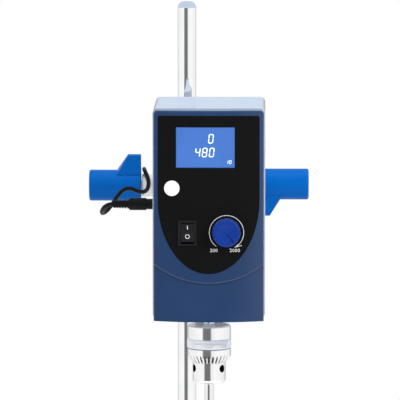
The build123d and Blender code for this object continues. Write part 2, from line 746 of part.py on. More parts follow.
def lcd_module():
    face = FRONT_Y + PANEL_THICKNESS + bulge_back(LCD_WIDTH / 2 - LCD_X) + LENS_GAP
    x = HEAD_X + LCD_X
    half_w = LCD_WIDTH / 2 - 2 * LENS_GAP
    half_h = LCD_HEIGHT / 2 - 2 * LENS_GAP
    glass = block(x - half_w, x + half_w, face, SKIN_Y + 1, LCD_Z - half_h, LCD_Z + half_h)
    wide = LCD_WIDTH / 2 + LCD_FRAME
    tall = LCD_HEIGHT / 2 + LCD_FRAME
    front = SKIN_Y + LOOSE_GAP
    glass += block(x - wide, x + wide, front, front + LCD_FRAME_DEPTH, LCD_Z - tall, LCD_Z + tall)
    for side in (-1, 1):
        leg = x + side * (wide - LCD_LEG_INSET)
        glass += bar_y(LCD_LEG_RADIUS, leg, LCD_Z - tall + LCD_LEG_INSET, front + LCD_FRAME_DEPTH, BOARD_Y)
        glass += bar_y(LCD_LEG_RADIUS, leg, LCD_Z + tall - LCD_LEG_INSET, front + LCD_FRAME_DEPTH, BOARD_Y)
    return glass


# Circuit board and what sits on it


def board_edges():
    half = BOARD_WIDTH / 2
    return HEAD_X - half, HEAD_X + half, HOUSING_BOTTOM + BOARD_LOW_HEIGHT, HOUSING_TOP - BOARD_TOP_GAP


def post_places():
    """Posts of the cover that carry the board."""
    left, right, low, high = board_edges()
    inset = POST_RADIUS + POST_INSET
    return [
        (left + inset, low + inset),
        (right - inset, low + inset),
        (left + inset, high - inset),
        (right - inset, high - inset),
    ]


def control_board():
    left, right, low, high = board_edges()
    board = block(left, right, BOARD_Y, BOARD_Y + BOARD_THICKNESS, low, high)
    width = SWITCH_BODY_WIDTH / 2 + SWITCH_SURROUND
    height = SWITCH_BODY_HEIGHT / 2 + SWITCH_SURROUND
    x = HEAD_X + ROCKER_X
    z = ROCKER_Z
    back = BOARD_Y + BOARD_THICKNESS + 1
    board -= block(x - width, x + width, BOARD_Y - 1, back, z - height, z + height)
    return board


def tact_switch():
    x = HEAD_X + BUTTON_X
    half = TACT_SIDE / 2
    face = BOARD_Y - TACT_HEIGHT
    body = block(x - half, x + half, face, BOARD_Y, BUTTON_Z - half, BUTTON_Z + half)
    return body + bar_y(TACT_PIN_RADIUS, x, BUTTON_Z, face - 1, face)


def run_stop_button():
    x = HEAD_X + BUTTON_X
    surface = FRONT_Y + bulge_back(BUTTON_X)
    lip_front = SKIN_Y + SEAT_GAP
    cap = bar_y(BUTTON_RADIUS, x, BUTTON_Z, surface - BUTTON_PROUD, lip_front + 1)
    cap = fillet(cap.faces().sort_by(Axis.Y)[0].edges(), BUTTON_PROUD / 2)
    lip = BUTTON_RADIUS + BUTTON_SLEEVE + BUTTON_LIP
    cap += bar_y(lip, x, BUTTON_Z, lip_front, lip_front + 1)
    stem_end = BOARD_Y - TACT_HEIGHT - 1 - BUTTON_TRAVEL - SLIDE_FIT
    cap += bar_y(TACT_PIN_RADIUS, x, BUTTON_Z, lip_front + 1, stem_end)
    return cap


def encoder_body():
    x = HEAD_X + DIAL_X
    w = ENCODER_WIDTH / 2
    h = ENCODER_HEIGHT / 2
    face = BOARD_Y - ENCODER_DEPTH
    body = block(x - w, x + w, face, BOARD_Y, DIAL_Z - h, DIAL_Z + h)
    surface = FRONT_Y + bulge_back(DIAL_X)
    body += bar_y(BUSHING_RADIUS, x, DIAL_Z, surface + SEAT_GAP, face)
    body -= bar_y(DIAL_SHAFT_RADIUS + SPIN_FIT, x, DIAL_Z, FRONT_Y - 1, face + 2)
    body -= bar_y(PLUNGER_RADIUS + SPIN_FIT, x, DIAL_Z, FRONT_Y - 1, BOARD_Y - 1)
    return body


def encoder_plunger():
    x = HEAD_X + DIAL_X
    face = BOARD_Y - ENCODER_DEPTH
    start = face + 2 - PUSH_TRAVEL - LOOSE_GAP
    end = BOARD_Y - 1 - PUSH_TRAVEL - LOOSE_GAP
    return bar_y(PLUNGER_RADIUS, x, DIAL_Z, start, end)


def dial_places():
    """Depths of the speed knob: its back, its top and the end of its shaft."""
    surface = FRONT_Y + bulge_back(DIAL_X - DIAL_RADIUS)
    back = surface - DIAL_TO_PANEL - bulge_back(DIAL_RADIUS) - PUSH_TRAVEL
    return back, back - DIAL_HEIGHT


def dial_shaft():
    x = HEAD_X + DIAL_X
    back, top = dial_places()
    face = BOARD_Y - ENCODER_DEPTH
    inner = face + 2 - PUSH_TRAVEL - LOOSE_GAP - SEAT_GAP
    return bar_y(DIAL_SHAFT_RADIUS, x, DIAL_Z, top + DIAL_CAP, inner)


def speed_knob():
    x = HEAD_X + DIAL_X
    back, top = dial_places()
    body = Plane.XZ.offset(-back) * Circle(DIAL_RADIUS)
    crown = Plane.XZ.offset(-top) * Circle(DIAL_TOP_RADIUS)
    knob = loft([body, crown])
    knob = fillet(knob.faces().sort_by(Axis.Y)[0].edges(), DIAL_ROUND)
    dish = Pos(0, top + DISH_DEPTH - DISH_RADIUS, 0) * Sphere(DISH_RADIUS)
    knob -= dish
    length = DIAL_TOP_RADIUS - DIAL_ROUND
    groove = block(0, length, top - 1, top + POINTER_DEPTH + DISH_DEPTH, -POINTER_WIDTH / 2, POINTER_WIDTH / 2)
    knob -= Rot(0, -POINTER_ANGLE, 0) * groove
    knob -= bar_y(DIAL_SHAFT_RADIUS + SEAT_GAP, 0, 0, top + DIAL_CAP - SEAT_GAP, back + 1)
    return Pos(x, 0, DIAL_Z) * knob


# Power switch


def rocker_pivot():
    """Depth of the rocker's pin."""
    return FRONT_Y + bulge_back(ROCKER_X) - BEZEL_PROUD + ROCKER_FACE + ROCKER_SUNK


def switch_frame():
    x = HEAD_X + ROCKER_X
    w = BEZEL_WIDTH / 2
    h = BEZEL_HEIGHT / 2
    surface = FRONT_Y + bulge_back(ROCKER_X)
    bezel = block(x - w, x + w, surface - BEZEL_PROUD, surface + 3, ROCKER_Z - h, ROCKER_Z + h)
    bezel = fillet(bezel.edges().filter_by(Axis.Y), BEZEL_CORNER)
    bezel = chamfer(bezel.faces().sort_by(Axis.Y)[0].edges(), BEZEL_CHAMFER)
    bezel -= drum(-SEAT_GAP)
    w = SWITCH_BODY_WIDTH / 2
    h = SWITCH_BODY_HEIGHT / 2
    back = surface + SWITCH_BODY_DEPTH
    body = block(x - w, x + w, surface - 0.5, back, ROCKER_Z - h, ROCKER_Z + h)
    frame = bezel + body
    pivot = rocker_pivot()
    w = ROCKER_WIDTH / 2 + ROCKER_SIDE_GAP
    swing = sqrt(ROCKER_HALF_LENGTH**2 + (ROCKER_FACE + ROCKER_END_RISE) ** 2) + LOOSE_GAP
    well = pivot + ROCKER_BACK + ROCKER_UNDER_GAP
    frame -= block(x - w, x + w, surface - 5, well, ROCKER_Z - swing, ROCKER_Z + swing)
    pin = ROCKER_PIN_RADIUS
    for side in (-1, 1):
        frame += bar_x(pin, pivot, ROCKER_Z, x + side * (w + PIN_ROOT), x + side * (w - PIN_REACH))
    for level in (-1, 0, 1):
        z = ROCKER_Z + level * LUG_SPACING
        half = LUG_THICKNESS / 2
        tip = back + SWITCH_LUG_LENGTH
        frame += block(x - LUG_WIDTH / 2, x + LUG_WIDTH / 2, back - PIN_ROOT, tip, z - half, z + half)
    return frame


def rocker():
    x = HEAD_X + ROCKER_X
    pivot = rocker_pivot()
    half = ROCKER_HALF_LENGTH
    slope = tan(radians(ROCKER_THROW / 2))
    outline = make_face(
        Polyline(
            (-half, ROCKER_FACE + half * slope),
            (0, ROCKER_FACE),
            (half, ROCKER_FACE + half * slope),
            (half - ROCKER_FLANK, 0),
            (ROCKER_FOOT, -ROCKER_BACK),
            (-ROCKER_FOOT, -ROCKER_BACK),
            (-half + ROCKER_FLANK, 0),
            close=True,
        )
    )
    paddle = extrude(Plane.YZ * Rot(0, 0, 90) * outline, ROCKER_WIDTH / 2, both=True)
    hole = ROCKER_PIN_RADIUS + SPIN_FIT
    paddle -= bar_x(hole, 0, 0, -ROCKER_WIDTH, ROCKER_WIDTH)
    return Pos(x, pivot, ROCKER_Z) * Rot(-ROCKER_THROW / 2, 0, 0) * paddle


# Drive


def motor_can():
    outer = bar_z(MOTOR_RADIUS, HEAD_X, SPINDLE_Y, MOTOR_BOTTOM, MOTOR_TOP)
    outer = fillet(outer.faces().sort_by(Axis.Z)[-1].edges(), 2)
    shell = MOTOR_SHELL
    cavity = bar_z(
        MOTOR_RADIUS - shell, HEAD_X, SPINDLE_Y, MOTOR_BOTTOM + shell, MOTOR_TOP - shell
    )
    can = outer - cavity
    can -= bar_z(BEARING_MID_RADIUS, HEAD_X, SPINDLE_Y, MOTOR_BOTTOM - 1, MOTOR_BOTTOM + shell + 1)
    top = MOTOR_TOP
    can += bar_z(BEARING_RADIUS + shell, HEAD_X, SPINDLE_Y, top - shell, top + BEARING_HEIGHT)
    can -= bar_z(BEARING_RADIUS + SEAT_GAP, HEAD_X, SPINDLE_Y, top, top + BEARING_HEIGHT + 1)
    can -= bar_z(BEARING_MID_RADIUS, HEAD_X, SPINDLE_Y, top - shell - 1, top + 1)
    return can


def stator():
    low = MOTOR_BOTTOM + MOTOR_SHELL + SEAT_GAP
    high = MOTOR_TOP - MOTOR_SHELL - SEAT_GAP
    ring = bar_z(MOTOR_RADIUS - MOTOR_SHELL - SEAT_GAP, HEAD_X, SPINDLE_Y, low, high)
    return ring - bar_z(STATOR_RADIUS, HEAD_X, SPINDLE_Y, low - 1, high + 1)


def rotor():
    middle = (MOTOR_BOTTOM + MOTOR_TOP) / 2
    low = middle - ROTOR_HEIGHT / 2
    high = middle + ROTOR_HEIGHT / 2
    core = bar_z(ROTOR_RADIUS, HEAD_X, SPINDLE_Y, low, high)
    return core - bar_z(SPINDLE_RADIUS + SEAT_GAP, HEAD_X, SPINDLE_Y, low - 1, high + 1)


def bearing_levels():
    return (MOTOR_BOTTOM - BEARING_HEIGHT, MOTOR_TOP)


def bearing_outer():
    rings = []
    for low in bearing_levels():
        ring = bar_z(BEARING_RADIUS, HEAD_X, SPINDLE_Y, low, low + BEARING_HEIGHT)
        inner = BEARING_MID_RADIUS + SPIN_FIT
        ring -= bar_z(inner, HEAD_X, SPINDLE_Y, low - 1, low + BEARING_HEIGHT + 1)
        rings.append(ring)
    return rings


def bearing_inner():
    rings = []
    for low in bearing_levels():
        ring = bar_z(BEARING_MID_RADIUS - SPIN_FIT, HEAD_X, SPINDLE_Y, low, low + BEARING_HEIGHT)
        bore = SPINDLE_RADIUS + SEAT_GAP
        ring -= bar_z(bore, HEAD_X, SPINDLE_Y, low - 1, low + BEARING_HEIGHT + 1)
        rings.append(ring)
    return rings


def spindle():
    top = MOTOR_TOP + BEARING_HEIGHT + 2
    bar = bar_z(SPINDLE_RADIUS, HEAD_X, SPINDLE_Y, CHUCK_TOP - SPINDLE_SEAT, top)
    return chamfer(bar.edges().filter_by(GeomType.CIRCLE), SHAFT_CHAMFER)


def shaft_seal():
    low = HOUSING_BOTTOM - SEAL_THICKNESS
    ring = bar_z(SEAL_RADIUS, HEAD_X, SPINDLE_Y, low, HOUSING_BOTTOM)
    ring = fillet(ring.faces().sort_by(Axis.Z)[0].edges(), SEAL_THICKNESS / 3)
    return ring - bar_z(SPINDLE_RADIUS + LOOSE_GAP, HEAD_X, SPINDLE_Y, low - 1, HOUSING_BOTTOM + 1)


# Chuck


def jaw_axis(index, height):
    """Point on a jaw's axis at a height above the nose's end, and the jaw's bearing."""
    bearing = radians(270 + CHUCK_TURN + 120 * index)
    radius = JAW_NOSE_RADIUS + height * tan(radians(JAW_TILT))
    x = HEAD_X + radius * cos(bearing)
    y = SPINDLE_Y + radius * sin(bearing)
    return (x, y, NOSE_BOTTOM + height), bearing


def jaw_bar(index, radius, low, high):
    """Round bar along a jaw's slanted axis between two heights."""
    start, bearing = jaw_axis(index, low)
    end, bearing = jaw_axis(index, high)
    axis = Vector(*end) - Vector(*start)
    return extrude(Plane(start, z_dir=axis) * Circle(radius), axis.length)


def chuck_body():
    flange_bottom = CHUCK_TOP - CHUCK_FLANGE
    outline = [
        (0, NOSE_BOTTOM),
        (NOSE_RADIUS, NOSE_BOTTOM),
        (NOSE_RADIUS, flange_bottom),
        (CHUCK_RADIUS, flange_bottom),
        (CHUCK_RADIUS, CHUCK_TOP),
        (0, CHUCK_TOP),
    ]
    body = turned(outline, HEAD_X, SPINDLE_Y)
    body = fillet(body.edges().group_by(Axis.Z)[0], NOSE_ROUND)
    body = chamfer(body.edges().group_by(Axis.Z)[-1], CHUCK_EDGE)
    body -= bar_z(
        SPINDLE_RADIUS + SEAT_GAP, HEAD_X, SPINDLE_Y, CHUCK_TOP - SPINDLE_SEAT - 0.5, CHUCK_TOP + 1
    )
    bore_top = NOSE_BOTTOM + SHAFT_BORE_DEPTH
    body -= bar_z(SHAFT_BORE_RADIUS, HEAD_X, SPINDLE_Y, NOSE_BOTTOM - 1, bore_top)
    top = JAW_REACH + JAW_TRAVEL + 3
    for i in range(3):
        body -= jaw_bar(i, JAW_RADIUS + SLIDE_FIT, -4, top)
        bearing = 90 + CHUCK_TURN + 120 * i
        key_hole = Pos(HEAD_X, SPINDLE_Y, NOSE_BOTTOM + KEY_HOLE_HEIGHT) * Rot(0, 0, bearing)
        start = NOSE_RADIUS - KEY_HOLE_DEPTH
        body -= key_hole * bar_x(KEY_HOLE_RADIUS, 0, 0, start, NOSE_RADIUS + 1)
    return body


def chuck_jaw(index):
    jaw = jaw_bar(index, JAW_RADIUS, -6, JAW_REACH)
    middle, bearing = jaw_axis(index, 0)
    low = NOSE_BOTTOM + JAW_INSET
    high = NOSE_BOTTOM + JAW_REACH + 10
    keep = block(SHAFT_RADIUS + SEAT_GAP, 30, -10, 10, low, high)
    return jaw & (Pos(HEAD_X, SPINDLE_Y, 0) * Rot(0, 0, degrees(bearing)) * keep)


def sleeve_bore():
    """Radius of the room inside the sleeve for the nut and the jaws."""
    return CHUCK_RADIUS - SLEEVE_WALL


def nut_level():
    """Bottom of the nut, on the step inside the sleeve."""
    return SLEEVE_BOTTOM + BEVEL_HEIGHT + NUT_LIFT


def chuck_sleeve():
    bevel_top = SLEEVE_BOTTOM + BEVEL_HEIGHT
    groove = SLEEVE_TOP - SLEEVE_KNURL
    fit = NOSE_RADIUS + SLIDE_FIT
    step = nut_level()
    outline = [
        (fit, SLEEVE_BOTTOM),
        (fit + INNER_BEVEL, SLEEVE_BOTTOM),
        (CHUCK_RADIUS, bevel_top),
        (CHUCK_RADIUS, groove - SLEEVE_GROOVE),
        (CHUCK_RADIUS - SLEEVE_GROOVE, groove),
        (CHUCK_RADIUS, groove + SLEEVE_GROOVE),
        (CHUCK_RADIUS, SLEEVE_TOP),
        (sleeve_bore(), SLEEVE_TOP),
        (sleeve_bore(), step),
        (fit, step),
    ]
    sleeve = turned(outline, HEAD_X, SPINDLE_Y)
    run = CHUCK_RADIUS - fit - INNER_BEVEL
    slant = sqrt(run**2 + BEVEL_HEIGHT**2)
    notch = make_face(
        Polyline((0, TOOTH_WIDTH / 2), (TOOTH_DEPTH, 0), (0, -TOOTH_WIDTH / 2), close=True)
    )
    direction = Vector(run, 0, BEVEL_HEIGHT).normalized()
    inward = Vector(-BEVEL_HEIGHT, 0, run).normalized()
    start = Vector(fit + INNER_BEVEL, 0, SLEEVE_BOTTOM) - direction * 1.5 - inward * 0.1
    slot = extrude(Plane(start, x_dir=inward, z_dir=direction) * notch, slant + 3)
    slots = [Pos(HEAD_X, SPINDLE_Y, 0) * Rot(0, 0, 360 * i / TEETH) * slot for i in range(TEETH)]
    return sleeve - slots


def chuck_nut():
    low = nut_level() + SEAT_GAP
    high = low + NUT_HEIGHT
    reach = JAW_RADIUS / cos(radians(JAW_TILT)) + NUT_GAP
    outer = sleeve_bore() - SEAT_GAP
    rise = tan(radians(JAW_TILT))
    low_radius = JAW_NOSE_RADIUS + (low - NOSE_BOTTOM) * rise + reach
    high_radius = JAW_NOSE_RADIUS + (high - NOSE_BOTTOM) * rise + reach
    return turned(
        [(low_radius, low), (outer, low), (outer, high), (high_radius, high)], HEAD_X, SPINDLE_Y
    )


# Stirring shaft and propeller


def stirring_shaft():
    shaft = bar_z(SHAFT_RADIUS, HEAD_X, SPINDLE_Y, SHAFT_BOTTOM, SHAFT_TOP)
    return chamfer(shaft.edges().filter_by(GeomType.CIRCLE), SHAFT_CHAMFER)


def propeller():
    low = SHAFT_BOTTOM - 1
    high = low + PROP_HUB_HEIGHT
    middle = (low + high) / 2
    hub = bar_z(PROP_HUB_RADIUS, HEAD_X, SPINDLE_Y, low, high)
    hub = fillet(hub.edges().filter_by(GeomType.CIRCLE), 1)
    for i in range(PROP_BLADES):
        blade = Pos(PROP_RADIUS / 2, 0, 0) * Rot(PROP_PITCH, 0, 0) * Box(
            PROP_RADIUS, BLADE_WIDTH, BLADE_THICKNESS
        )
        blade &= Cylinder(PROP_RADIUS, 3 * BLADE_WIDTH)
        hub += Pos(HEAD_X, SPINDLE_Y, middle) * Rot(0, 0, 360 * i / PROP_BLADES) * blade
    hub -= bar_z(SHAFT_RADIUS + SEAT_GAP, HEAD_X, SPINDLE_Y, SHAFT_BOTTOM, high + 20)
    hub -= Pos(HEAD_X, SPINDLE_Y, 0) * Rot(0, 0, 45) * bar_x(
        PROP_SCREW_RADIUS + THREAD_FIT, 0, middle, 0, PROP_HUB_RADIUS + 1
    )
    return hub


def propeller_screw():
    middle = SHAFT_BOTTOM - 1 + PROP_HUB_HEIGHT / 2
    start = SHAFT_RADIUS + SEAT_GAP
    screw = bar_x(PROP_SCREW_RADIUS, 0, middle, start, PROP_HUB_RADIUS - PROP_SCREW_SUNK)
    return Pos(HEAD_X, SPINDLE_Y, 0) * Rot(0, 0, 45) * screw


# Power inlet, plug, lead and adapter


def dc_jack():
    inner = HOUSING_LEFT + JACK_DEPTH
    jack = bar_x(JACK_RADIUS, JACK_Y, JACK_Z, RIM_X, inner)
    jack += bar_x(JACK_RIM_RADIUS, JACK_Y, JACK_Z, RIM_X, HOUSING_LEFT)
    bore = PLUG_TUBE_RADIUS + SEAT_GAP
    floor = RIM_X + PLUG_TUBE_LENGTH + PLUG_END_GAP
    jack -= bar_x(bore, JACK_Y, JACK_Z, RIM_X - 1, floor)
    return jack + bar_x(JACK_PIN_RADIUS, JACK_Y, JACK_Z, RIM_X + 1, floor + 1)


def dc_plug():
    collar_end = RIM_X - COLLAR_LENGTH
    grip_end = collar_end - GRIP_LENGTH
    plug = bar_x(COLLAR_RADIUS, JACK_Y, JACK_Z, collar_end, RIM_X - SEAT_GAP)
    grip = bar_x(GRIP_RADIUS, JACK_Y, JACK_Z, grip_end, collar_end)
    plug += fillet(grip.edges().filter_by(GeomType.CIRCLE), GRIP_EDGE)
    plug += bar_x(PLUG_TUBE_RADIUS, JACK_Y, JACK_Z, collar_end, RIM_X + PLUG_TUBE_LENGTH)
    plug -= bar_x(PLUG_TUBE_BORE, JACK_Y, JACK_Z, RIM_X, RIM_X + PLUG_TUBE_LENGTH + 1)
    return plug


def plug_relief():
    start = RIM_X - COLLAR_LENGTH - GRIP_LENGTH
    pitch = RELIEF_LENGTH / RELIEF_RIBS
    relief = bar_x(RELIEF_TIP_RADIUS - RIB_HEIGHT, JACK_Y, JACK_Z, start - RELIEF_LENGTH, start)
    for i in range(RELIEF_RIBS):
        share = i / (RELIEF_RIBS - 1)
        radius = RELIEF_RADIUS + (RELIEF_TIP_RADIUS - RELIEF_RADIUS) * share
        near = start - i * pitch
        relief += bar_x(radius, JACK_Y, JACK_Z, near - RIB_SHARE * pitch, near)
    relief -= bar_x(CORD_RADIUS, JACK_Y, JACK_Z, PLUG_END_X - 1, PLUG_END_X + 2)
    return relief


def cord_path(points):
    """Straight runs joined by arcs as large as their two runs allow."""
    radii = []
    for before, here, after in zip(points, points[1:], points[2:]):
        come = Vector(*here) - Vector(*before)
        go = Vector(*after) - Vector(*here)
        turn = radians(come.get_angle(go))
        radii.append(0.45 * min(come.length, go.length) / tan(turn / 2))
    return FilletPolyline(*points, radius=radii), radii


def cord_tube(name, points):
    path, radii = cord_path(points)
    start = Plane(path @ 0, z_dir=path % 0)
    tube = sweep(start * Circle(CORD_RADIUS), path=path)
    expected = pi * CORD_RADIUS**2 * path.length
    turns = ", ".join(f"{r:.0f}" for r in radii)
    print(f"{name}: {path.length:.0f} mm, volume ratio {tube.volume / expected:.4f}, radii {turns}")
    return tube


def upper_cord_points():
    """From the plug's strain relief, round behind it and over the clamp's left hub."""
    return [
        (PLUG_END_X + 2, JACK_Y, JACK_Z),
        (-65.0, 60.0, 523.4),
        (-69.8, 63.0, 520.2),
        (-72.0, 69.5, 515.8),
        (-71.5, 77.5, 513.2),
        (-68.0, 85.0, 514.6),
        (-63.5, 90.8, 519.8),
        (-59.0, 96.0, 527.0),
        (-54.0, 101.0, 532.0),
        (-48.0, 105.0, 532.4),
        (-42.5, 108.5, 529.4),
        (-37.0, 112.8, 528.0),
        (-33.6, 119.5, 530.2),
        (-32.8, 125.0, 535.6),
        (-34.6, 129.0, 541.2),
        (-36.6, 134.6, 544.6),
        (-37.2, 141.0, 545.2),
    ]


def lower_cord_points():
    """From the top of the hub, down behind the stand's rod to the coil on the bench."""
    return [
        (-37.2, 141.0, 545.2),
        (-37.8, 147.4, 545.8),
        (-36.4, 154.2, 541.2),
        (-33.2, 158.6, 532.0),
        (-27.5, 161.8, 520.5),
        (-19.5, 164.5, 504.5),
        (-10.5, 166.8, 483.0),
        (-3.5, 168.2, 454.0),
        (0.3, 168.8, 416.0),
        (-0.8, 170.0, 368.0),
        (0.8, 168.5, 314.0),
        (-0.5, 170.5, 258.0),
        (1.0, 168.0, 202.0),
        (-0.8, 170.0, 148.0),
        (1.2, 169.0, 98.0),
        (2.0, 169.5, 58.0),
        (3.5, 171.5, 29.0),
        (5.0, 177.5, 10.0),
        (6.0, 186.0, 3.2),
        (4.9, 196.0, CORD_RADIUS),
    ]


def tail_cord_points():
    """From the coil to the adapter."""
    side = COIL_Y + COIL_OUTER + CORD_RADIUS + SEAT_GAP
    return [
        (COIL_X + 26.8, COIL_Y + 10.0, 5.4),
        (COIL_X + 28.2, COIL_Y + 16.5, 5.6),
        (COIL_X + 32.5, side - 5.2, 6.2),
        (COIL_X + 39.0, side - 0.8, 7.0),
        (adapter_left() - 6.4, adapter_middle(), ADAPTER_EXIT),
        (adapter_left(), adapter_middle(), ADAPTER_EXIT),
    ]


def upper_cord():
    return cord_tube("upper_cord", upper_cord_points())


def lower_cord():
    return cord_tube("lower_cord", lower_cord_points())


def tail_cord():
    return cord_tube("tail_cord", tail_cord_points())


def cord_coil():
    ring = bar_z(COIL_OUTER, COIL_X, COIL_Y, 0, COIL_HEIGHT)
    ring -= bar_z(COIL_INNER, COIL_X, COIL_Y, -1, COIL_HEIGHT + 1)
    return fillet(ring.edges().filter_by(GeomType.CIRCLE), CORD_RADIUS * 0.9)


def adapter_middle():
    """Middle of the adapter across its length, in line with the coil's back."""
    return COIL_Y + COIL_OUTER + CORD_RADIUS + SEAT_GAP + ADAPTER_SHIFT


def adapter_left():
    """End of the adapter where the lead comes out."""
    return COIL_X + COIL_OUTER + ADAPTER_TO_COIL


def power_adapter():
    left = adapter_left()
    near = adapter_middle() - ADAPTER_WIDTH / 2
    case = block(left, left + ADAPTER_LENGTH, near, near + ADAPTER_WIDTH, 0, ADAPTER_HEIGHT)
    case = fillet(case.edges().filter_by(Axis.Z), ADAPTER_CORNER)
    return fillet(case.faces().sort_by(Axis.Z)[-1].edges(), ADAPTER_EDGE)


def adapter_pins():
    """Two round contact pins on the adapter's far end."""
    middle = adapter_middle()
    end = adapter_left() + ADAPTER_LENGTH
    pins = []
    for side in (-1, 1):
        y = middle + side * PIN_SPACING / 2
        pin = bar_x(PIN_RADIUS, y, ADAPTER_HEIGHT / 2, end, end + PIN_LENGTH)
        pins.append(fillet(pin.faces().sort_by(Axis.X)[-1].edges(), PIN_RADIUS * 0.8))
    return pins


PARTS = {
    "base_plate": base_plate,
    "rubber_mat": rubber_mat,
    "stand_rod": stand_rod,
    "rod_bolt": rod_bolt,
    "clamp_body": clamp_body,
    "left_pad": lambda: Pos(ROD_X, 0, 0) * thrust_pad(ROD_Y),
    "left_screw": lambda: Pos(ROD_X, 0, 0) * clamp_screw(ROD_Y),
    "left_knob": lambda: Pos(ROD_X, 0, 0) * wing_knob(ROD_Y, LEFT_WING_ANGLE),
    "right_pad": lambda: to_right(thrust_pad(ARM_SCREW_Y)),
    "right_screw": lambda: to_right(clamp_screw(ARM_SCREW_Y)),
    "right_knob": lambda: to_right(wing_knob(ARM_SCREW_Y, RIGHT_WING_ANGLE)),
    "support_arm": support_arm,
    "arm_flange": arm_flange,
    "arm_screws": arm_screws,
    "arm_backing": arm_backing,
    "rear_housing": rear_housing,
    "case_screws": case_screws,
    "front_cover": front_cover,
    "control_panel": control_panel,
    "display_lens": display_lens,
    "lcd_module": lcd_module,
    "control_board": control_board,
    "tact_switch": tact_switch,
    "run_stop_button": run_stop_button,
    "encoder_body": encoder_body,
    "encoder_plunger": encoder_plunger,
    "dial_shaft": dial_shaft,
    "speed_knob": speed_knob,
    "switch_frame": switch_frame,
    "rocker": rocker,
    "motor_can": motor_can,
    "stator": stator,
    "rotor": rotor,
    "bearing_outer": bearing_outer,
    "bearing_inner": bearing_inner,
    "spindle": spindle,
    "shaft_seal": shaft_seal,
    "chuck_body": chuck_body,
    "chuck_sleeve": chuck_sleeve,
    "chuck_nut": chuck_nut,
    "chuck_jaw_1": lambda: chuck_jaw(0),
    "chuck_jaw_2": lambda: chuck_jaw(1),
    "chuck_jaw_3": lambda: chuck_jaw(2),
    "stirring_shaft": stirring_shaft,
    "propeller": propeller,
    "propeller_screw": propeller_screw,
    "dc_jack": dc_jack,
    "dc_plug": dc_plug,
    "plug_relief": plug_relief,
    "upper_cord": upper_cord,
    "lower_cord": lower_cord,
    "cord_coil": cord_coil,
    "tail_cord": tail_cord,
    "power_adapter": power_adapter,
    "adapter_pins": adapter_pins,
}


def main():
    os.makedirs("parts", exist_ok=True)
    for name, make in PARTS.items():
        made = make()
        solids = made if isinstance(made, list) else [made]
        shape = Compound(children=[s for part in solids for s in part.solids()])
        export_step(shape, f"parts/{name}.step")


main()
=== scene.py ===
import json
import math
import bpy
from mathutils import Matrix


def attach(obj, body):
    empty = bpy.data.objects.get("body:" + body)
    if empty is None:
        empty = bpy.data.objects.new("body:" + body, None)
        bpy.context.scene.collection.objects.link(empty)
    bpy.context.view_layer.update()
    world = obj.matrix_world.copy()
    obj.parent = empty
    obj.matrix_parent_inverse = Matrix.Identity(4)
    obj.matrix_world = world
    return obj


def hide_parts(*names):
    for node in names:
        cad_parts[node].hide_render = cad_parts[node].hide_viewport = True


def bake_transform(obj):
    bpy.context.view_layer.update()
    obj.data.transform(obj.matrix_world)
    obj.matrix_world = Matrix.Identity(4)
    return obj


bl_info = {
    "name": "Overhead Stirrer",
    "version": (1, 0, 0),
    "blender": (4, 5, 0),
    "location": "View3D > Sidebar > Stirrer",
    "description": "Finishes, power lead, display, printed marks and studio for the overhead stirrer",
    "category": "Object",
}

import bmesh
import bpy
from bpy.props import FloatProperty, FloatVectorProperty, IntProperty, PointerProperty
from mathutils import Matrix, Vector

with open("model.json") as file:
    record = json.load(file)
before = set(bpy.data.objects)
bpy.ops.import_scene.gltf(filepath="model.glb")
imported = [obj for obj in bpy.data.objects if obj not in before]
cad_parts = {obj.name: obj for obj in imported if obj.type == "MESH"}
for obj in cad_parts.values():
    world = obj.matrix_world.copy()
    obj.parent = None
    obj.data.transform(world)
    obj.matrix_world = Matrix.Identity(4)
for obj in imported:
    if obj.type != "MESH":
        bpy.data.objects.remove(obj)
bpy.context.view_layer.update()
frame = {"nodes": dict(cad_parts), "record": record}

HEAD_X = 0.021
ROCKER_POSITION = Vector((0.0035, -0.043037, 0.5101))
DIAL_Z = 0.511
LCD_CENTRE = (-0.0027, 0.5813)


# Sizes and colours that a user may change


class StirrerSizes(bpy.types.PropertyGroup):
    lead_diameter: FloatProperty(
        name="Lead diameter",
        description="Outside diameter of the power lead",
        default=0.0036,
        unit="LENGTH",
    )
    coil_radius: FloatProperty(
        name="Coil radius",
        description="Radius of the middle turn of the wound lead",
        default=0.021,
        unit="LENGTH",
    )
    front_radius: FloatProperty(
        name="Front radius",
        description="Radius of the gently bulged front of the head",
        default=0.4217,
        unit="LENGTH",
    )
    front_depth: FloatProperty(
        name="Front place",
        description="Place of the middle of the head's front along Y",
        default=-0.045,
        unit="LENGTH",
    )
    scale_radius: FloatProperty(
        name="Dial line radius",
        description="Radius of the line printed round the speed knob",
        default=0.0143,
        unit="LENGTH",
    )
    scale_line: FloatProperty(
        name="Dial line width",
        description="Width of the line printed round the speed knob",
        default=0.0005,
        unit="LENGTH",
    )
    print_height: FloatProperty(
        name="Print height",
        description="How far printed marks stand off the panel",
        default=0.00006,
        unit="LENGTH",
    )
    knurl_columns: IntProperty(
        name="Knurl columns",
        description="Diamonds round the chuck sleeve",
        default=72,
    )
    knurl_height: FloatProperty(
        name="Knurl height",
        description="How far the diamonds stand off the chuck sleeve",
        default=0.0004,
        unit="LENGTH",
    )


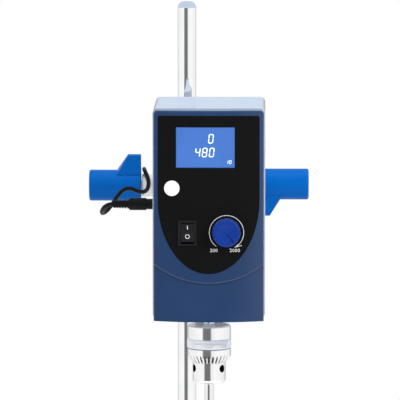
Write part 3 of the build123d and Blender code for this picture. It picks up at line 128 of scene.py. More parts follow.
class StirrerColours(bpy.types.PropertyGroup):
    cover_blue: FloatVectorProperty(
        name="Cover blue",
        description="Deep blue of the head's front cover",
        default=(0.0135, 0.0395, 0.114),
        subtype="COLOR",
    )
    knob_blue: FloatVectorProperty(
        name="Clamp knob blue",
        description="Bright blue of the two clamp knobs",
        default=(0.0, 0.12, 0.48),
        subtype="COLOR",
    )
    dial_blue: FloatVectorProperty(
        name="Speed knob blue",
        description="Blue of the speed knob",
        default=(0.003, 0.031, 0.24),
        subtype="COLOR",
    )
    display_blue: FloatVectorProperty(
        name="Display blue",
        description="Lit blue of the display",
        default=(0.08, 0.215, 0.66),
        subtype="COLOR",
    )
    panel_black: FloatVectorProperty(
        name="Panel black",
        description="Black of the control panel's film",
        default=(0.0052, 0.0052, 0.0054),
        subtype="COLOR",
    )
    # White plastic with a painted reflection: the blue tint stands in for the pale blue sky seen in the
    # glossy top.
    housing_white: FloatVectorProperty(
        name="Housing white",
        description="White of the rear housing",
        default=(0.6, 0.67, 0.78),
        subtype="COLOR",
    )


class StirrerStudio(bpy.types.PropertyGroup):
    camera_place: FloatVectorProperty(
        name="Camera place",
        description="Where the camera stands",
        default=(0.064, -3.645, 0.912),
        subtype="TRANSLATION",
    )
    camera_aim: FloatVectorProperty(
        name="Camera aim",
        description="Point that the camera looks at",
        default=(0.0139, -0.045, 0.5378),
        subtype="TRANSLATION",
    )
    focal_length: FloatProperty(
        name="Focal length",
        description="Focal length in millimetres on a 36 mm sensor",
        default=392.85,
    )
    room_light: FloatProperty(
        name="Room light",
        description="Strength of the even light from the room",
        default=0.62,
    )


# Shader building


def finish_nodes(name):
    """New finish with its node tree, its shader and a point in the piece's own space."""
    finish = bpy.data.materials.new(name)
    finish.use_nodes = True
    tree = finish.node_tree
    shader = tree.nodes["Principled BSDF"]
    place = tree.nodes.new("ShaderNodeTexCoord")
    return finish, tree, shader, place.outputs["Object"]


def stretched(tree, place, stretch):
    mapping = tree.nodes.new("ShaderNodeMapping")
    mapping.inputs["Scale"].default_value = stretch
    tree.links.new(place, mapping.inputs["Vector"])
    return mapping.outputs["Vector"]


def noise(tree, place, scale, detail=3.0, rough=0.55):
    texture = tree.nodes.new("ShaderNodeTexNoise")
    texture.inputs["Scale"].default_value = scale
    texture.inputs["Detail"].default_value = detail
    texture.inputs["Roughness"].default_value = rough
    tree.links.new(place, texture.inputs["Vector"])
    return texture.outputs["Fac"]


def between(tree, value, low, high, start=0.3, end=0.7):
    """Map a texture's middle range to a range of values."""
    ranger = tree.nodes.new("ShaderNodeMapRange")
    ranger.inputs["From Min"].default_value = start
    ranger.inputs["From Max"].default_value = end
    ranger.inputs["To Min"].default_value = low
    ranger.inputs["To Max"].default_value = high
    tree.links.new(value, ranger.inputs["Value"])
    return ranger.outputs["Result"]


def two_tones(tree, value, dark, light):
    ramp = tree.nodes.new("ShaderNodeValToRGB")
    ramp.color_ramp.elements[0].position = 0.3
    ramp.color_ramp.elements[1].position = 0.7
    ramp.color_ramp.elements[0].color = (*dark, 1)
    ramp.color_ramp.elements[1].color = (*light, 1)
    tree.links.new(value, ramp.inputs["Fac"])
    return ramp.outputs["Color"]


def shade_of(colour, amount):
    return [min(1.0, channel * amount) for channel in colour]


def raised(tree, shader, heights, distance, strength=1.0, before=None):
    bump = tree.nodes.new("ShaderNodeBump")
    bump.inputs["Strength"].default_value = strength
    bump.inputs["Distance"].default_value = distance
    tree.links.new(heights, bump.inputs["Height"])
    if before is not None:
        tree.links.new(before, bump.inputs["Normal"])
    tree.links.new(bump.outputs["Normal"], shader.inputs["Normal"])
    return bump.outputs["Normal"]


def moulded_plastic(name, colour, gloss=0.35, grain=900.0, depth=0.00002, coat=0.0, shine=0.5):
    """Moulded plastic: slight flow mottling, fine spark-eroded grain and handling marks."""
    finish, tree, shader, place = finish_nodes(name)
    mottling = noise(tree, place, 28.0, 4.0)
    tone = two_tones(tree, mottling, shade_of(colour, 0.94), shade_of(colour, 1.05))
    tree.links.new(tone, shader.inputs["Base Color"])
    handling = noise(tree, stretched(tree, place, (1.0, 0.6, 1.4)), 60.0, 6.0, 0.65)
    roughness = between(tree, handling, gloss - 0.05, gloss + 0.07)
    tree.links.new(roughness, shader.inputs["Roughness"])
    raised(tree, shader, noise(tree, place, grain, 2.0), depth)
    shader.inputs["Coat Weight"].default_value = coat
    shader.inputs["Coat Roughness"].default_value = 0.08
    shader.inputs["Specular IOR Level"].default_value = shine
    return finish


def steel(name, colour, gloss, along=(1.0, 1.0, 0.03), scale=2600.0, depth=0.000004):
    """Bare or plated steel with fine drawn or turned lines."""
    finish, tree, shader, place = finish_nodes(name)
    shader.inputs["Metallic"].default_value = 1.0
    lines = noise(tree, stretched(tree, place, along), scale, 3.0)
    cloud = noise(tree, place, 40.0, 4.0)
    tone = two_tones(tree, cloud, shade_of(colour, 0.95), shade_of(colour, 1.03))
    tree.links.new(tone, shader.inputs["Base Color"])
    tree.links.new(between(tree, lines, gloss * 0.8, gloss * 1.3), shader.inputs["Roughness"])
    raised(tree, shader, lines, depth)
    return finish


def painted_crevice_shade(finish, reach, darkest):
    """Painted shade: darken a finish's colour where other surfaces are near, in notches, key holes and seams.
    """
    tree = finish.node_tree
    shader = tree.nodes["Principled BSDF"]
    tone = shader.inputs["Base Color"].links[0].from_socket
    # Ambient occlusion turns into painted shade in the base colour.
    near = tree.nodes.new("ShaderNodeAmbientOcclusion")
    near.inputs["Distance"].default_value = reach
    near.samples = 12
    open_share = between(tree, near.outputs["AO"], darkest, 1.0, 0.4, 0.85)
    mix = tree.nodes.new("ShaderNodeMix")
    mix.data_type = "RGBA"
    mix.blend_type = "MULTIPLY"
    mix.inputs["Factor"].default_value = 1.0
    tree.links.new(tone, mix.inputs["A"])
    tree.links.new(open_share, mix.inputs["B"])
    tree.links.new(mix.outputs["Result"], shader.inputs["Base Color"])
    return finish


def painted_steel(name, colour, gloss=0.38):
    """Powder-coated steel with a fine orange-peel skin."""
    finish, tree, shader, place = finish_nodes(name)
    cloud = noise(tree, place, 18.0, 3.0)
    tone = two_tones(tree, cloud, shade_of(colour, 0.96), shade_of(colour, 1.02))
    tree.links.new(tone, shader.inputs["Base Color"])
    peel = noise(tree, place, 700.0, 2.0)
    tree.links.new(between(tree, peel, gloss - 0.05, gloss + 0.08), shader.inputs["Roughness"])
    raised(tree, shader, peel, 0.00005, 0.6)
    return finish


def rubber(name, colour, gloss=0.7, shine=0.15):
    """Matt rubber or soft vinyl with a slightly dusty skin."""
    finish, tree, shader, place = finish_nodes(name)
    dust = noise(tree, place, 120.0, 6.0, 0.7)
    tone = two_tones(tree, dust, shade_of(colour, 0.85), shade_of(colour, 1.25))
    tree.links.new(tone, shader.inputs["Base Color"])
    tree.links.new(between(tree, dust, gloss - 0.08, gloss + 0.1), shader.inputs["Roughness"])
    raised(tree, shader, noise(tree, place, 1500.0, 2.0), 0.00003)
    shader.inputs["Specular IOR Level"].default_value = shine
    return finish


def wound_copper(name):
    """Enamelled copper wire wound in close turns."""
    finish, tree, shader, place = finish_nodes(name)
    wave = tree.nodes.new("ShaderNodeTexWave")
    wave.bands_direction = "Z"
    wave.inputs["Scale"].default_value = 320.0
    wave.inputs["Distortion"].default_value = 0.6
    tree.links.new(place, wave.inputs["Vector"])
    tone = two_tones(tree, wave.outputs["Fac"], (0.25, 0.09, 0.04), (0.75, 0.36, 0.19))
    tree.links.new(tone, shader.inputs["Base Color"])
    shader.inputs["Metallic"].default_value = 0.9
    shader.inputs["Roughness"].default_value = 0.35
    raised(tree, shader, wave.outputs["Fac"], 0.0003)
    return finish


def circuit_green(name):
    """Solder mask over copper tracks."""
    finish, tree, shader, place = finish_nodes(name)
    tracks = tree.nodes.new("ShaderNodeTexBrick")
    tracks.inputs["Scale"].default_value = 180.0
    tracks.inputs["Mortar Size"].default_value = 0.06
    tree.links.new(stretched(tree, place, (1.0, 1.0, 1.0)), tracks.inputs["Vector"])
    tone = two_tones(tree, tracks.outputs["Fac"], (0.012, 0.13, 0.045), (0.02, 0.2, 0.07))
    tree.links.new(tone, shader.inputs["Base Color"])
    shader.inputs["Roughness"].default_value = 0.3
    raised(tree, shader, tracks.outputs["Fac"], 0.00005)
    return finish


def display_backlight(name, colour):
    """Lit display, its glow a little uneven, with a fine grain on its surface."""
    finish, tree, shader, place = finish_nodes(name)
    cloud = noise(tree, place, 25.0, 2.0)
    tone = two_tones(tree, cloud, shade_of(colour, 0.94), shade_of(colour, 1.07))
    shader.inputs["Base Color"].default_value = (*shade_of(colour, 0.12), 1)
    tree.links.new(tone, shader.inputs["Emission Color"])
    shader.inputs["Emission Strength"].default_value = 0.95
    shader.inputs["Roughness"].default_value = 0.35
    shader.inputs["Specular IOR Level"].default_value = 0.05
    raised(tree, shader, noise(tree, place, 4000.0, 1.0), 0.00001)
    return finish


def clear_window(name):
    """Thin clear window with a faint tint and fine wiping marks."""
    finish, tree, shader, place = finish_nodes(name)
    shader.inputs["Base Color"].default_value = (0.02, 0.03, 0.05, 1.0)
    wiping = noise(tree, stretched(tree, place, (1.0, 1.0, 0.2)), 300.0, 3.0)
    tree.links.new(between(tree, wiping, 0.05, 0.12), shader.inputs["Roughness"])
    shader.inputs["Alpha"].default_value = 0.04
    shader.inputs["Specular IOR Level"].default_value = 0.3
    return finish


def lit_digits(name):
    """White light of the display's digits."""
    finish, tree, shader, place = finish_nodes(name)
    glow = noise(tree, place, 900.0, 1.0)
    tone = two_tones(tree, glow, (0.8, 0.9, 1.0), (0.9, 0.97, 1.0))
    tree.links.new(tone, shader.inputs["Base Color"])
    tree.links.new(tone, shader.inputs["Emission Color"])
    shader.inputs["Emission Strength"].default_value = 0.75
    shader.inputs["Roughness"].default_value = 0.4
    return finish


def screen_print(name, colour=(0.75, 0.75, 0.75)):
    """White screen-printing ink."""
    finish, tree, shader, place = finish_nodes(name)
    ink = noise(tree, place, 2500.0, 3.0)
    tone = two_tones(tree, ink, shade_of(colour, 0.88), shade_of(colour, 1.06))
    tree.links.new(tone, shader.inputs["Base Color"])
    tree.links.new(between(tree, ink, 0.4, 0.55), shader.inputs["Roughness"])
    return finish


def make_finishes(colours):
    """One finish for each material slot of the record."""
    grey_steel = (0.62, 0.62, 0.63)
    return {
        "base_grey": painted_steel("base_grey_paint", (0.6, 0.62, 0.64)),
        "mat_rubber": rubber("bench_mat_rubber", (0.03, 0.03, 0.032)),
        "rod_chrome": steel("rod_polish", (0.96, 0.965, 0.97), 0.04, scale=900.0, depth=0.000001),
        "bolt_steel": steel("bolt_zinc", grey_steel, 0.28, (1, 1, 1), 1500.0),
        "clamp_cream": painted_steel("clamp_cream_paint", (0.93, 0.95, 0.91)),
        "pad_brass": steel("pad_brass", (0.75, 0.55, 0.27), 0.25, (1, 1, 1), 900.0),
        "knob_blue": moulded_plastic("clamp_knob_blue", colours.knob_blue, 0.3, 900.0, shine=0.07),
        "arm_steel": steel("arm_steel", (0.75, 0.75, 0.76), 0.16, (1, 0.03, 1)),
        # Rear housing: white plastic whose colour carries a painted blue reflection.
        "housing_white": moulded_plastic(
            "housing_white_with_painted_blue_reflection", colours.housing_white, 0.12, 1200.0, 0.000006, 0.6
        ),
        "cover_blue": moulded_plastic(
            "cover_deep_blue", colours.cover_blue, 0.14, 1600.0, 0.000002, 0.2, 0.5
        ),
        "panel_black": moulded_plastic(
            "panel_black_film", colours.panel_black, 0.4, 2200.0, 0.000006, 0.0, 0.06
        ),
        "lens_clear": clear_window("display_window"),
        "lcd_blue": display_backlight("display_backlight", colours.display_blue),
        "board_green": circuit_green("board_solder_mask"),
        "switch_black": moulded_plastic("switch_black", (0.011, 0.011, 0.012), 0.32, 1400.0, shine=0.15),
        "button_white": moulded_plastic("button_white", (0.92, 0.92, 0.92), 0.25, 1400.0),
        "dial_blue": moulded_plastic("speed_knob_blue", colours.dial_blue, 0.28, 1300.0, shine=0.2),
        "shaft_steel": steel("stirring_shaft_steel", (0.92, 0.92, 0.93), 0.07, depth=0.000001),
        "motor_steel": steel("motor_steel", (0.42, 0.42, 0.43), 0.35, (1, 1, 1), 800.0),
        "winding_copper": wound_copper("motor_winding"),
        # Chuck: painted shade darkens its colour in the notches, the key holes and under the housing's
        # bottom.
        "chuck_chrome": painted_crevice_shade(
            steel("chuck_polish", (0.94, 0.94, 0.945), 0.06, (0.2, 0.2, 1.0), 2600.0, 0.000001),
            0.010, 0.02,
        ),
        "jaw_steel": steel("jaw_steel", (0.3, 0.3, 0.31), 0.3, (1, 1, 1), 1200.0),
        "seal_black": rubber("shaft_seal_rubber", (0.02, 0.02, 0.02), 0.55),
        "cord_black": rubber("lead_vinyl", (0.007, 0.007, 0.0075), 0.36, 0.14),
        "plug_black": moulded_plastic("plug_black", (0.006, 0.006, 0.0062), 0.34, 1100.0, shine=0.12),
        "pin_brass": steel("pin_nickel", (0.8, 0.78, 0.72), 0.2, (1, 1, 1), 900.0),
    }


FINISHES = {}


def finish_of(slot):
    if slot not in FINISHES:
        raise RuntimeError(f"the finish {slot} is not made yet")
    return FINISHES[slot]


# Mesh building


def add_piece(name, bm, body, slot, finish=None, smooth=True):
    """Close a bmesh into a named piece that rides on a body and has its finish."""
    bmesh.ops.recalc_face_normals(bm, faces=bm.faces)
    mesh = bpy.data.meshes.new(name)
    bm.to_mesh(mesh)
    bm.free()
    for face in mesh.polygons:
        face.use_smooth = smooth
    piece = bpy.data.objects.new(name, mesh)
    bpy.context.scene.collection.objects.link(piece)
    mesh.materials.append(finish or finish_of(slot))
    if body is not None:
        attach(piece, body)
    return piece


def prism(bm, outline, place, low, high):
    """Closed prism over a flat outline; place turns (u, v, height) into a point."""
    bottom = [bm.verts.new(place(u, v, low)) for u, v in outline]
    top = [bm.verts.new(place(u, v, high)) for u, v in outline]
    bm.faces.new(list(reversed(bottom)))
    bm.faces.new(top)
    count = len(outline)
    for i in range(count):
        j = (i + 1) % count
        bm.faces.new((bottom[i], bottom[j], top[j], top[i]))


def ribbon(bm, left, right, place, low, high):
    """Closed thin band between two lines of points."""
    rows = [
        [bm.verts.new(place(*a, low)), bm.verts.new(place(*b, low)),
         bm.verts.new(place(*b, high)), bm.verts.new(place(*a, high))]
        for a, b in zip(left, right)
    ]
    for row, after in zip(rows, rows[1:]):
        for i in range(4):
            j = (i + 1) % 4
            bm.faces.new((row[i], row[j], after[j], after[i]))
    bm.faces.new(rows[0])
    bm.faces.new(list(reversed(rows[-1])))


def on_front(u, z, height):
    """Point on the bulged front: u is the distance from the head's middle."""
    sizes = bpy.context.scene.stirrer_sizes
    radius = sizes.front_radius
    depth = radius - math.sqrt(radius**2 - u**2)
    return Vector((HEAD_X + u, sizes.front_depth + depth + 0.00002 - height, z))


def route_line(points):
    """Smooth line of a lead: a NURBS spline with the route's points as control points."""
    data = bpy.data.curves.new("route", "CURVE")
    data.dimensions = "3D"
    data.resolution_u = 10
    spline = data.splines.new("NURBS")
    spline.points.add(len(points) - 1)
    for control, point in zip(spline.points, points):
        control.co = (*point, 1.0)
    spline.order_u = 3
    spline.use_endpoint_u = True
    holder = bpy.data.objects.new("route", data)
    mesh = bpy.data.meshes.new_from_object(holder)
    line = [v.co.copy() for v in mesh.vertices]
    bpy.data.objects.remove(holder)
    bpy.data.meshes.remove(mesh)
    bpy.data.curves.remove(data)
    return line


def tube(line, radius, sides=20):
    """Round tube along a line, with flat ends, its section carried along without twist."""
    bm = bmesh.new()
    heading = (line[1] - line[0]).normalized()
    across = heading.orthogonal().normalized()
    rings = []
    for i, point in enumerate(line):
        ahead = line[min(i + 1, len(line) - 1)]
        behind = line[max(i - 1, 0)]
        now = (ahead - behind).normalized()
        across = (across - now * across.dot(now)).normalized()
        other = now.cross(across)
        ring = []
        for k in range(sides):
            turn = 2 * math.pi * k / sides
            offset = across * math.cos(turn) + other * math.sin(turn)
            ring.append(bm.verts.new(point + offset * radius))
        rings.append(ring)
    for ring, after in zip(rings, rings[1:]):
        for k in range(sides):
            j = (k + 1) % sides
            bm.faces.new((ring[k], ring[j], after[j], after[k]))
    bm.faces.new(list(reversed(rings[0])))
    bm.faces.new(rings[-1])
    return bm


# The lead's route, in millimetres

UPPER_ROUTE = [
    (-60.0, 60.0, 523.4),
    (-65.0, 60.0, 523.4),
    (-69.8, 63.0, 520.2),
    (-72.0, 69.5, 515.8),
    (-71.5, 77.5, 513.2),
    (-68.0, 85.0, 514.6),
    (-63.5, 90.8, 519.8),
    (-59.0, 96.0, 527.0),
    (-54.0, 101.0, 532.0),
    (-48.0, 105.0, 532.4),
    (-42.5, 108.5, 529.4),
    (-37.0, 112.8, 528.0),
    (-33.6, 119.5, 530.2),
    (-32.8, 125.0, 535.6),
    (-34.6, 129.0, 541.2),
    (-36.6, 134.6, 544.6),
    (-37.2, 141.0, 545.2),
]

LOWER_ROUTE = [
    (-37.2, 141.0, 545.2),
    (-37.8, 147.4, 545.8),
    (-36.4, 154.2, 541.2),
    (-33.2, 158.6, 532.0),
    (-27.5, 161.8, 520.5),
    (-19.5, 164.5, 504.5),
    (-10.5, 166.8, 483.0),
    (-3.5, 168.2, 454.0),
    (0.3, 168.8, 416.0),
    (-0.8, 170.0, 368.0),
    (0.8, 168.5, 314.0),
    (-0.5, 170.5, 258.0),
    (1.0, 168.0, 202.0),
    (-0.8, 170.0, 148.0),
    (1.2, 169.0, 98.0),
    (2.0, 169.5, 58.0),
    (3.5, 171.5, 29.0),
    (5.0, 177.5, 10.0),
    (6.0, 186.0, 3.2),
    (4.9, 196.0, 1.8),
]

TAIL_ROUTE = [
    (4.8, 216.0, 5.4),
    (6.2, 222.5, 5.6),
    (10.5, 229.0, 6.2),
    (17.0, 233.4, 7.0),
    (24.0, 235.2, 8.0),
    (30.4, 235.2, 8.0),
]

COIL_MIDDLE = (-22.0, 206.0)

# Turn of the winding in degrees, radius in lead diameters from the middle turn, layer.
COIL_TURNS = [
    (10, 1.55, 0),
    (40, 1.0, 0),
    (340, 1.0, 0),
    (400, 0.0, 0),
    (700, 0.0, 0),
    (760, -1.0, 0),
    (1040, -1.0, 0),
    (1110, -1.0, 1),
    (1400, -1.0, 1),
    (1460, 0.0, 1),
    (1760, 0.0, 1),
    (1820, 1.0, 1),
    (2150, 1.0, 1),
]


def coil_route(sizes):
    """Control points of the winding, 15 for each turn."""
    lead = sizes.lead_diameter * 1000
    points = []
    step = 24.0
    for (a, out_a, layer_a), (b, out_b, layer_b) in zip(COIL_TURNS, COIL_TURNS[1:]):
        count = max(1, round((b - a) / step))
        for k in range(count):
            share = k / count
            turn = math.radians(a + (b - a) * share)
            out = out_a + (out_b - out_a) * share
            layer = layer_a + (layer_b - layer_a) * share
            radius = (sizes.coil_radius * 1000 + out * lead) * 1.02
            x = COIL_MIDDLE[0] + radius * math.cos(turn)
            y = COIL_MIDDLE[1] + radius * math.sin(turn)
            points.append((x, y, lead / 2 + lead * layer))
    return points


def metres(points):
    return [Vector(p) / 1000 for p in points]


# Seven-segment digits

SEGMENTS = {
    "0": "abcdef",
    "1": "bc",
    "2": "abged",
    "3": "abgcd",
    "4": "fgbc",
    "5": "afgcd",
    "6": "afgedc",
    "7": "abc",
    "8": "abcdefg",
    "9": "abcdfg",
}


def digit_segments(width, height, thick):
    """Outlines of the seven bars of one digit, with its lower left corner at zero."""
    w = width
    h = height
    t = thick
    gap = t * 0.12
    half = t / 2

    def flat(y):
        return [
            (half + gap, y), (t + gap, y + half), (w - t - gap, y + half),
            (w - half - gap, y), (w - t - gap, y - half), (t + gap, y - half),
        ]

    def upright(x, y0, y1):
        return [
            (x, y0 + gap), (x + half, y0 + half + gap), (x + half, y1 - half - gap),
            (x, y1 - gap), (x - half, y1 - half - gap), (x - half, y0 + half + gap),
        ]

    return {
        "a": flat(h - half),
        "g": flat(h / 2),
        "d": flat(half),
        "f": upright(half, h / 2, h - half),
        "b": upright(w - half, h / 2, h - half),
        "e": upright(half, half, h / 2),
        "c": upright(w - half, half, h / 2),
    }


def number_on_display(bm, text, left, bottom, width, height, thick, space):
    """Slanted digits on the display, placed from the head's middle and the bench."""
    face = -0.042985
    segments = digit_segments(width, height, thick)

    def place(u, v, raise_by):
        return Vector((HEAD_X + u + 0.12 * (v - bottom), face - raise_by, v))

    for index, digit in enumerate(text):
        start = left + index * space
        for name in SEGMENTS[digit]:
            outline = [(start + x, bottom + y) for x, y in segments[name]]
            prism(bm, outline, place, 0.00002, 0.00014)


def printed_number(text, height, bold):
    """Flat mesh of a number in the plain built-in typeface, centred on its own middle."""
    data = bpy.data.curves.new("number", "FONT")
    data.body = text
    data.size = height
    data.offset = bold
    data.space_character = 1.12
    data.resolution_u = 3
    holder = bpy.data.objects.new("number", data)
    mesh = bpy.data.meshes.new_from_object(holder)
    bm = bmesh.new()
    bm.from_mesh(mesh)
    bpy.data.objects.remove(holder)
    bpy.data.meshes.remove(mesh)
    bpy.data.curves.remove(data)
    xs = [v.co.x for v in bm.verts]
    ys = [v.co.y for v in bm.verts]
    middle = Vector(((min(xs) + max(xs)) / 2, (min(ys) + max(ys)) / 2, 0))
    for v in bm.verts:
        v.co -= middle
    return bm


# Operators


class STIRRER_OT_studio(bpy.types.Operator):
    """Build the pale floor, the soft lights and the camera"""

    bl_idname = "stirrer.studio"
    bl_label = "Studio"

    def execute(self, context):
        studio = context.scene.stirrer_studio
        self.make_camera(context, studio)
        self.make_room(context, studio)
        self.make_floor(context)
        self.make_lamps(context)
        context.scene.view_settings.view_transform = "Standard"
        return {"FINISHED"}

    def make_camera(self, context, studio):
        data = bpy.data.cameras.new("camera")
        data.lens = studio.focal_length
        data.sensor_width = 36.0
        data.clip_start = 0.05
        data.clip_end = 100.0
        camera = bpy.data.objects.new("camera", data)
        context.scene.collection.objects.link(camera)
        camera.location = studio.camera_place
        aim = Vector(studio.camera_aim) - Vector(studio.camera_place)
        camera.rotation_euler = aim.to_track_quat("-Z", "Y").to_euler()
        context.scene.camera = camera

    def make_room(self, context, studio):
        """White room; gloss sees a dark doorway in front of the object."""
        world = bpy.data.worlds.new("room")
        world.use_nodes = True
        context.scene.world = world
        tree = world.node_tree
        tree.nodes.clear()
        out = tree.nodes.new("ShaderNodeOutputWorld")
        path = tree.nodes.new("ShaderNodeLightPath")
        even = tree.nodes.new("ShaderNodeBackground")
        even.inputs["Color"].default_value = (1, 1, 1, 1)
        even.inputs["Strength"].default_value = studio.room_light
        seen = tree.nodes.new("ShaderNodeBackground")
        seen.inputs["Color"].default_value = (1, 1, 1, 1)
        seen.inputs["Strength"].default_value = 1.0
        gloss = tree.nodes.new("ShaderNodeBackground")
        gloss.inputs["Strength"].default_value = 1.0
        place = tree.nodes.new("ShaderNodeTexCoord")
        split = tree.nodes.new("ShaderNodeSeparateXYZ")
        tree.links.new(place.outputs["Generated"], split.inputs[0])
        front = tree.nodes.new("ShaderNodeMath")
        front.operation = "MULTIPLY"
        front.inputs[1].default_value = -1.0
        tree.links.new(split.outputs["Y"], front.inputs[0])
        bearing = tree.nodes.new("ShaderNodeMath")
        bearing.operation = "ARCTAN2"
        tree.links.new(split.outputs["X"], bearing.inputs[0])
        tree.links.new(front.outputs[0], bearing.inputs[1])
        unit = tree.nodes.new("ShaderNodeMapRange")
        unit.inputs["From Min"].default_value = -math.pi
        unit.inputs["From Max"].default_value = math.pi
        tree.links.new(bearing.outputs[0], unit.inputs["Value"])
        ramp = tree.nodes.new("ShaderNodeValToRGB")
        stops = [
            (-180, 0.3), (-160, 0.45), (-128, 0.9), (-37, 1.0), (-30, 0.19), (6, 0.17),
            (15, 0.9), (40, 1.0), (128, 0.9), (160, 0.45), (180, 0.3),
        ]
        elements = ramp.color_ramp.elements
        while len(elements) < len(stops):
            elements.new(0.5)
        for element, (angle, value) in zip(elements, stops):
            element.position = (angle + 180) / 360
            element.color = (value, value, value, 1)
        tree.links.new(unit.outputs["Result"], ramp.inputs["Fac"])
        above = tree.nodes.new("ShaderNodeMix")
        above.data_type = "RGBA"
        above.inputs["B"].default_value = (0.56, 0.66, 0.8, 1.0)
        tree.links.new(between(tree, split.outputs["Z"], 0.0, 1.0, -0.01, 0.05), above.inputs["Factor"])
        tree.links.new(ramp.outputs["Color"], above.inputs["A"])
        tree.links.new(above.outputs["Result"], gloss.inputs["Color"])
        first = tree.nodes.new("ShaderNodeMixShader")
        tree.links.new(path.outputs["Is Glossy Ray"], first.inputs["Fac"])
        tree.links.new(even.outputs[0], first.inputs[1])
        tree.links.new(gloss.outputs[0], first.inputs[2])
        second = tree.nodes.new("ShaderNodeMixShader")
        tree.links.new(path.outputs["Is Camera Ray"], second.inputs["Fac"])
        tree.links.new(first.outputs[0], second.inputs[1])
        tree.links.new(seen.outputs[0], second.inputs[2])
        tree.links.new(second.outputs[0], out.inputs["Surface"])

    def make_floor(self, context):
        bm = bmesh.new()
        bmesh.ops.create_circle(bm, cap_ends=True, radius=1.6, segments=96)
        mesh = bpy.data.meshes.new("floor")
        bm.to_mesh(mesh)
        bm.free()
        floor = bpy.data.objects.new("floor", mesh)
        context.scene.collection.objects.link(floor)
        finish = bpy.data.materials.new("floor_white")
        finish.use_nodes = True
        tree = finish.node_tree
        shader = tree.nodes["Principled BSDF"]
        shader.inputs["Base Color"].default_value = (0.86, 0.86, 0.86, 1)
        shader.inputs["Roughness"].default_value = 0.8
        shader.inputs["Specular IOR Level"].default_value = 0.1
        glow = tree.nodes.new("ShaderNodeEmission")
        glow.inputs["Color"].default_value = (1, 1, 1, 1)
        path = tree.nodes.new("ShaderNodeLightPath")
        share = tree.nodes.new("ShaderNodeMath")
        share.operation = "MULTIPLY"
        place = tree.nodes.new("ShaderNodeTexCoord")
        reach = tree.nodes.new("ShaderNodeVectorMath")
        reach.operation = "LENGTH"
        tree.links.new(place.outputs["Object"], reach.inputs[0])
        fade = between(tree, reach.outputs["Value"], 0.85, 1.0, 0.35, 1.1)
        tree.links.new(fade, share.inputs[1])
        tree.links.new(path.outputs["Is Camera Ray"], share.inputs[0])
        mix = tree.nodes.new("ShaderNodeMixShader")
        tree.links.new(share.outputs[0], mix.inputs["Fac"])
        tree.links.new(shader.outputs[0], mix.inputs[1])
        tree.links.new(glow.outputs[0], mix.inputs[2])
        out = tree.nodes["Material Output"]
        tree.links.new(mix.outputs[0], out.inputs["Surface"])
        mesh.materials.append(finish)

    def make_lamps(self, context):
        lamps = [
            ("key_lamp", (-1.5, -1.9, 1.9), 1.2, 21.0),
            ("fill_lamp", (1.7, -1.6, 1.3), 1.2, 32.0),
            ("top_lamp", (0.1, -0.1, 2.3), 1.4, 18.0),
        ]
        for name, place, size, power in lamps:
            data = bpy.data.lights.new(name, "AREA")
            data.shape = "SQUARE"
            data.size = size
            data.energy = power
            lamp = bpy.data.objects.new(name, data)
            context.scene.collection.objects.link(lamp)
            lamp.location = place
            lamp.visible_glossy = False
            aim = Vector((0.02, 0.0, 0.5)) - Vector(place)
            lamp.rotation_euler = aim.to_track_quat("-Z", "Y").to_euler()


class STIRRER_OT_finishes(bpy.types.Operator):
    """Give every solid of the frame the finish of its material slot"""

    bl_idname = "stirrer.finishes"
    bl_label = "Finishes"

    def execute(self, context):
        FINISHES.update(make_finishes(context.scene.stirrer_colours))
        FINISHES["digits"] = lit_digits("display_digits")
        FINISHES["ink"] = screen_print("panel_ink")
        for part in frame["record"]["subparts"]:
            node = frame["nodes"][part["node"]]
            finish = finish_of(part["material_slot"])
            node.data.materials.clear()
            node.data.materials.append(finish)
        return {"FINISHED"}


class STIRRER_OT_lead(bpy.types.Operator):
    """Lay the power lead from its plug over the clamp to the wound coil and the adapter"""

    bl_idname = "stirrer.lead"
    bl_label = "Power lead"

    def execute(self, context):
        sizes = context.scene.stirrer_sizes
        radius = sizes.lead_diameter / 2
        upper_line = route_line(metres(UPPER_ROUTE))
        upper = add_piece("lead_upper", tube(upper_line, radius), None, "cord_black")
        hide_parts("upper_cord")
        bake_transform(upper)
        lower_route = metres(LOWER_ROUTE + coil_route(sizes) + TAIL_ROUTE)
        lower_line = route_line(lower_route)
        lower = add_piece("lead_lower", tube(lower_line, radius), None, "cord_black")
        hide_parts("lower_cord", "cord_coil", "tail_cord")
        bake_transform(lower)
        self.make_ties(sizes)
        return {"FINISHED"}

    def make_ties(self, sizes):
        """Two narrow straps that hold the wound turns together."""
        lead = sizes.lead_diameter
        half = 1.5 * lead
        low = 0.0003
        high = 2 * lead
        thick = 0.0006
        corner = lead * 0.42
        for index, turn_degrees in enumerate((75, 215)):
            turn = math.radians(turn_degrees)
            outward = Vector((math.cos(turn), math.sin(turn), 0))
            along = Vector((-outward.y, outward.x, 0))
            middle = Vector((*COIL_MIDDLE, 0)) / 1000 + outward * sizes.coil_radius
            inner = []
            outer = []
            for cx, cz, start in (
                (half - corner, high - corner, 0),
                (-half + corner, high - corner, 90),
                (-half + corner, low + corner, 180),
                (half - corner, low + corner, 270),
            ):
                for k in range(7):
                    a = math.radians(start + 15 * k)
                    for ring, r in ((inner, corner), (outer, corner + thick)):
                        ring.append((cx + r * math.cos(a), max(0.0, cz + r * math.sin(a))))
            bm = bmesh.new()
            rows = []
            for (ix, iz), (ox, oz) in zip(inner, outer):
                row = []
                for x, z, side in ((ix, iz, -1), (ox, oz, -1), (ox, oz, 1), (ix, iz, 1)):
                    row.append(bm.verts.new(middle + outward * x + along * side * 0.0022 + Vector((0, 0, z))))
                rows.append(row)
            for row, after in zip(rows, rows[1:] + rows[:1]):
                for i in range(4):
                    j = (i + 1) % 4
                    bm.faces.new((row[i], row[j], after[j], after[i]))
            add_piece(f"coil_tie_{index + 1}", bm, "stand", "cord_black", smooth=False)


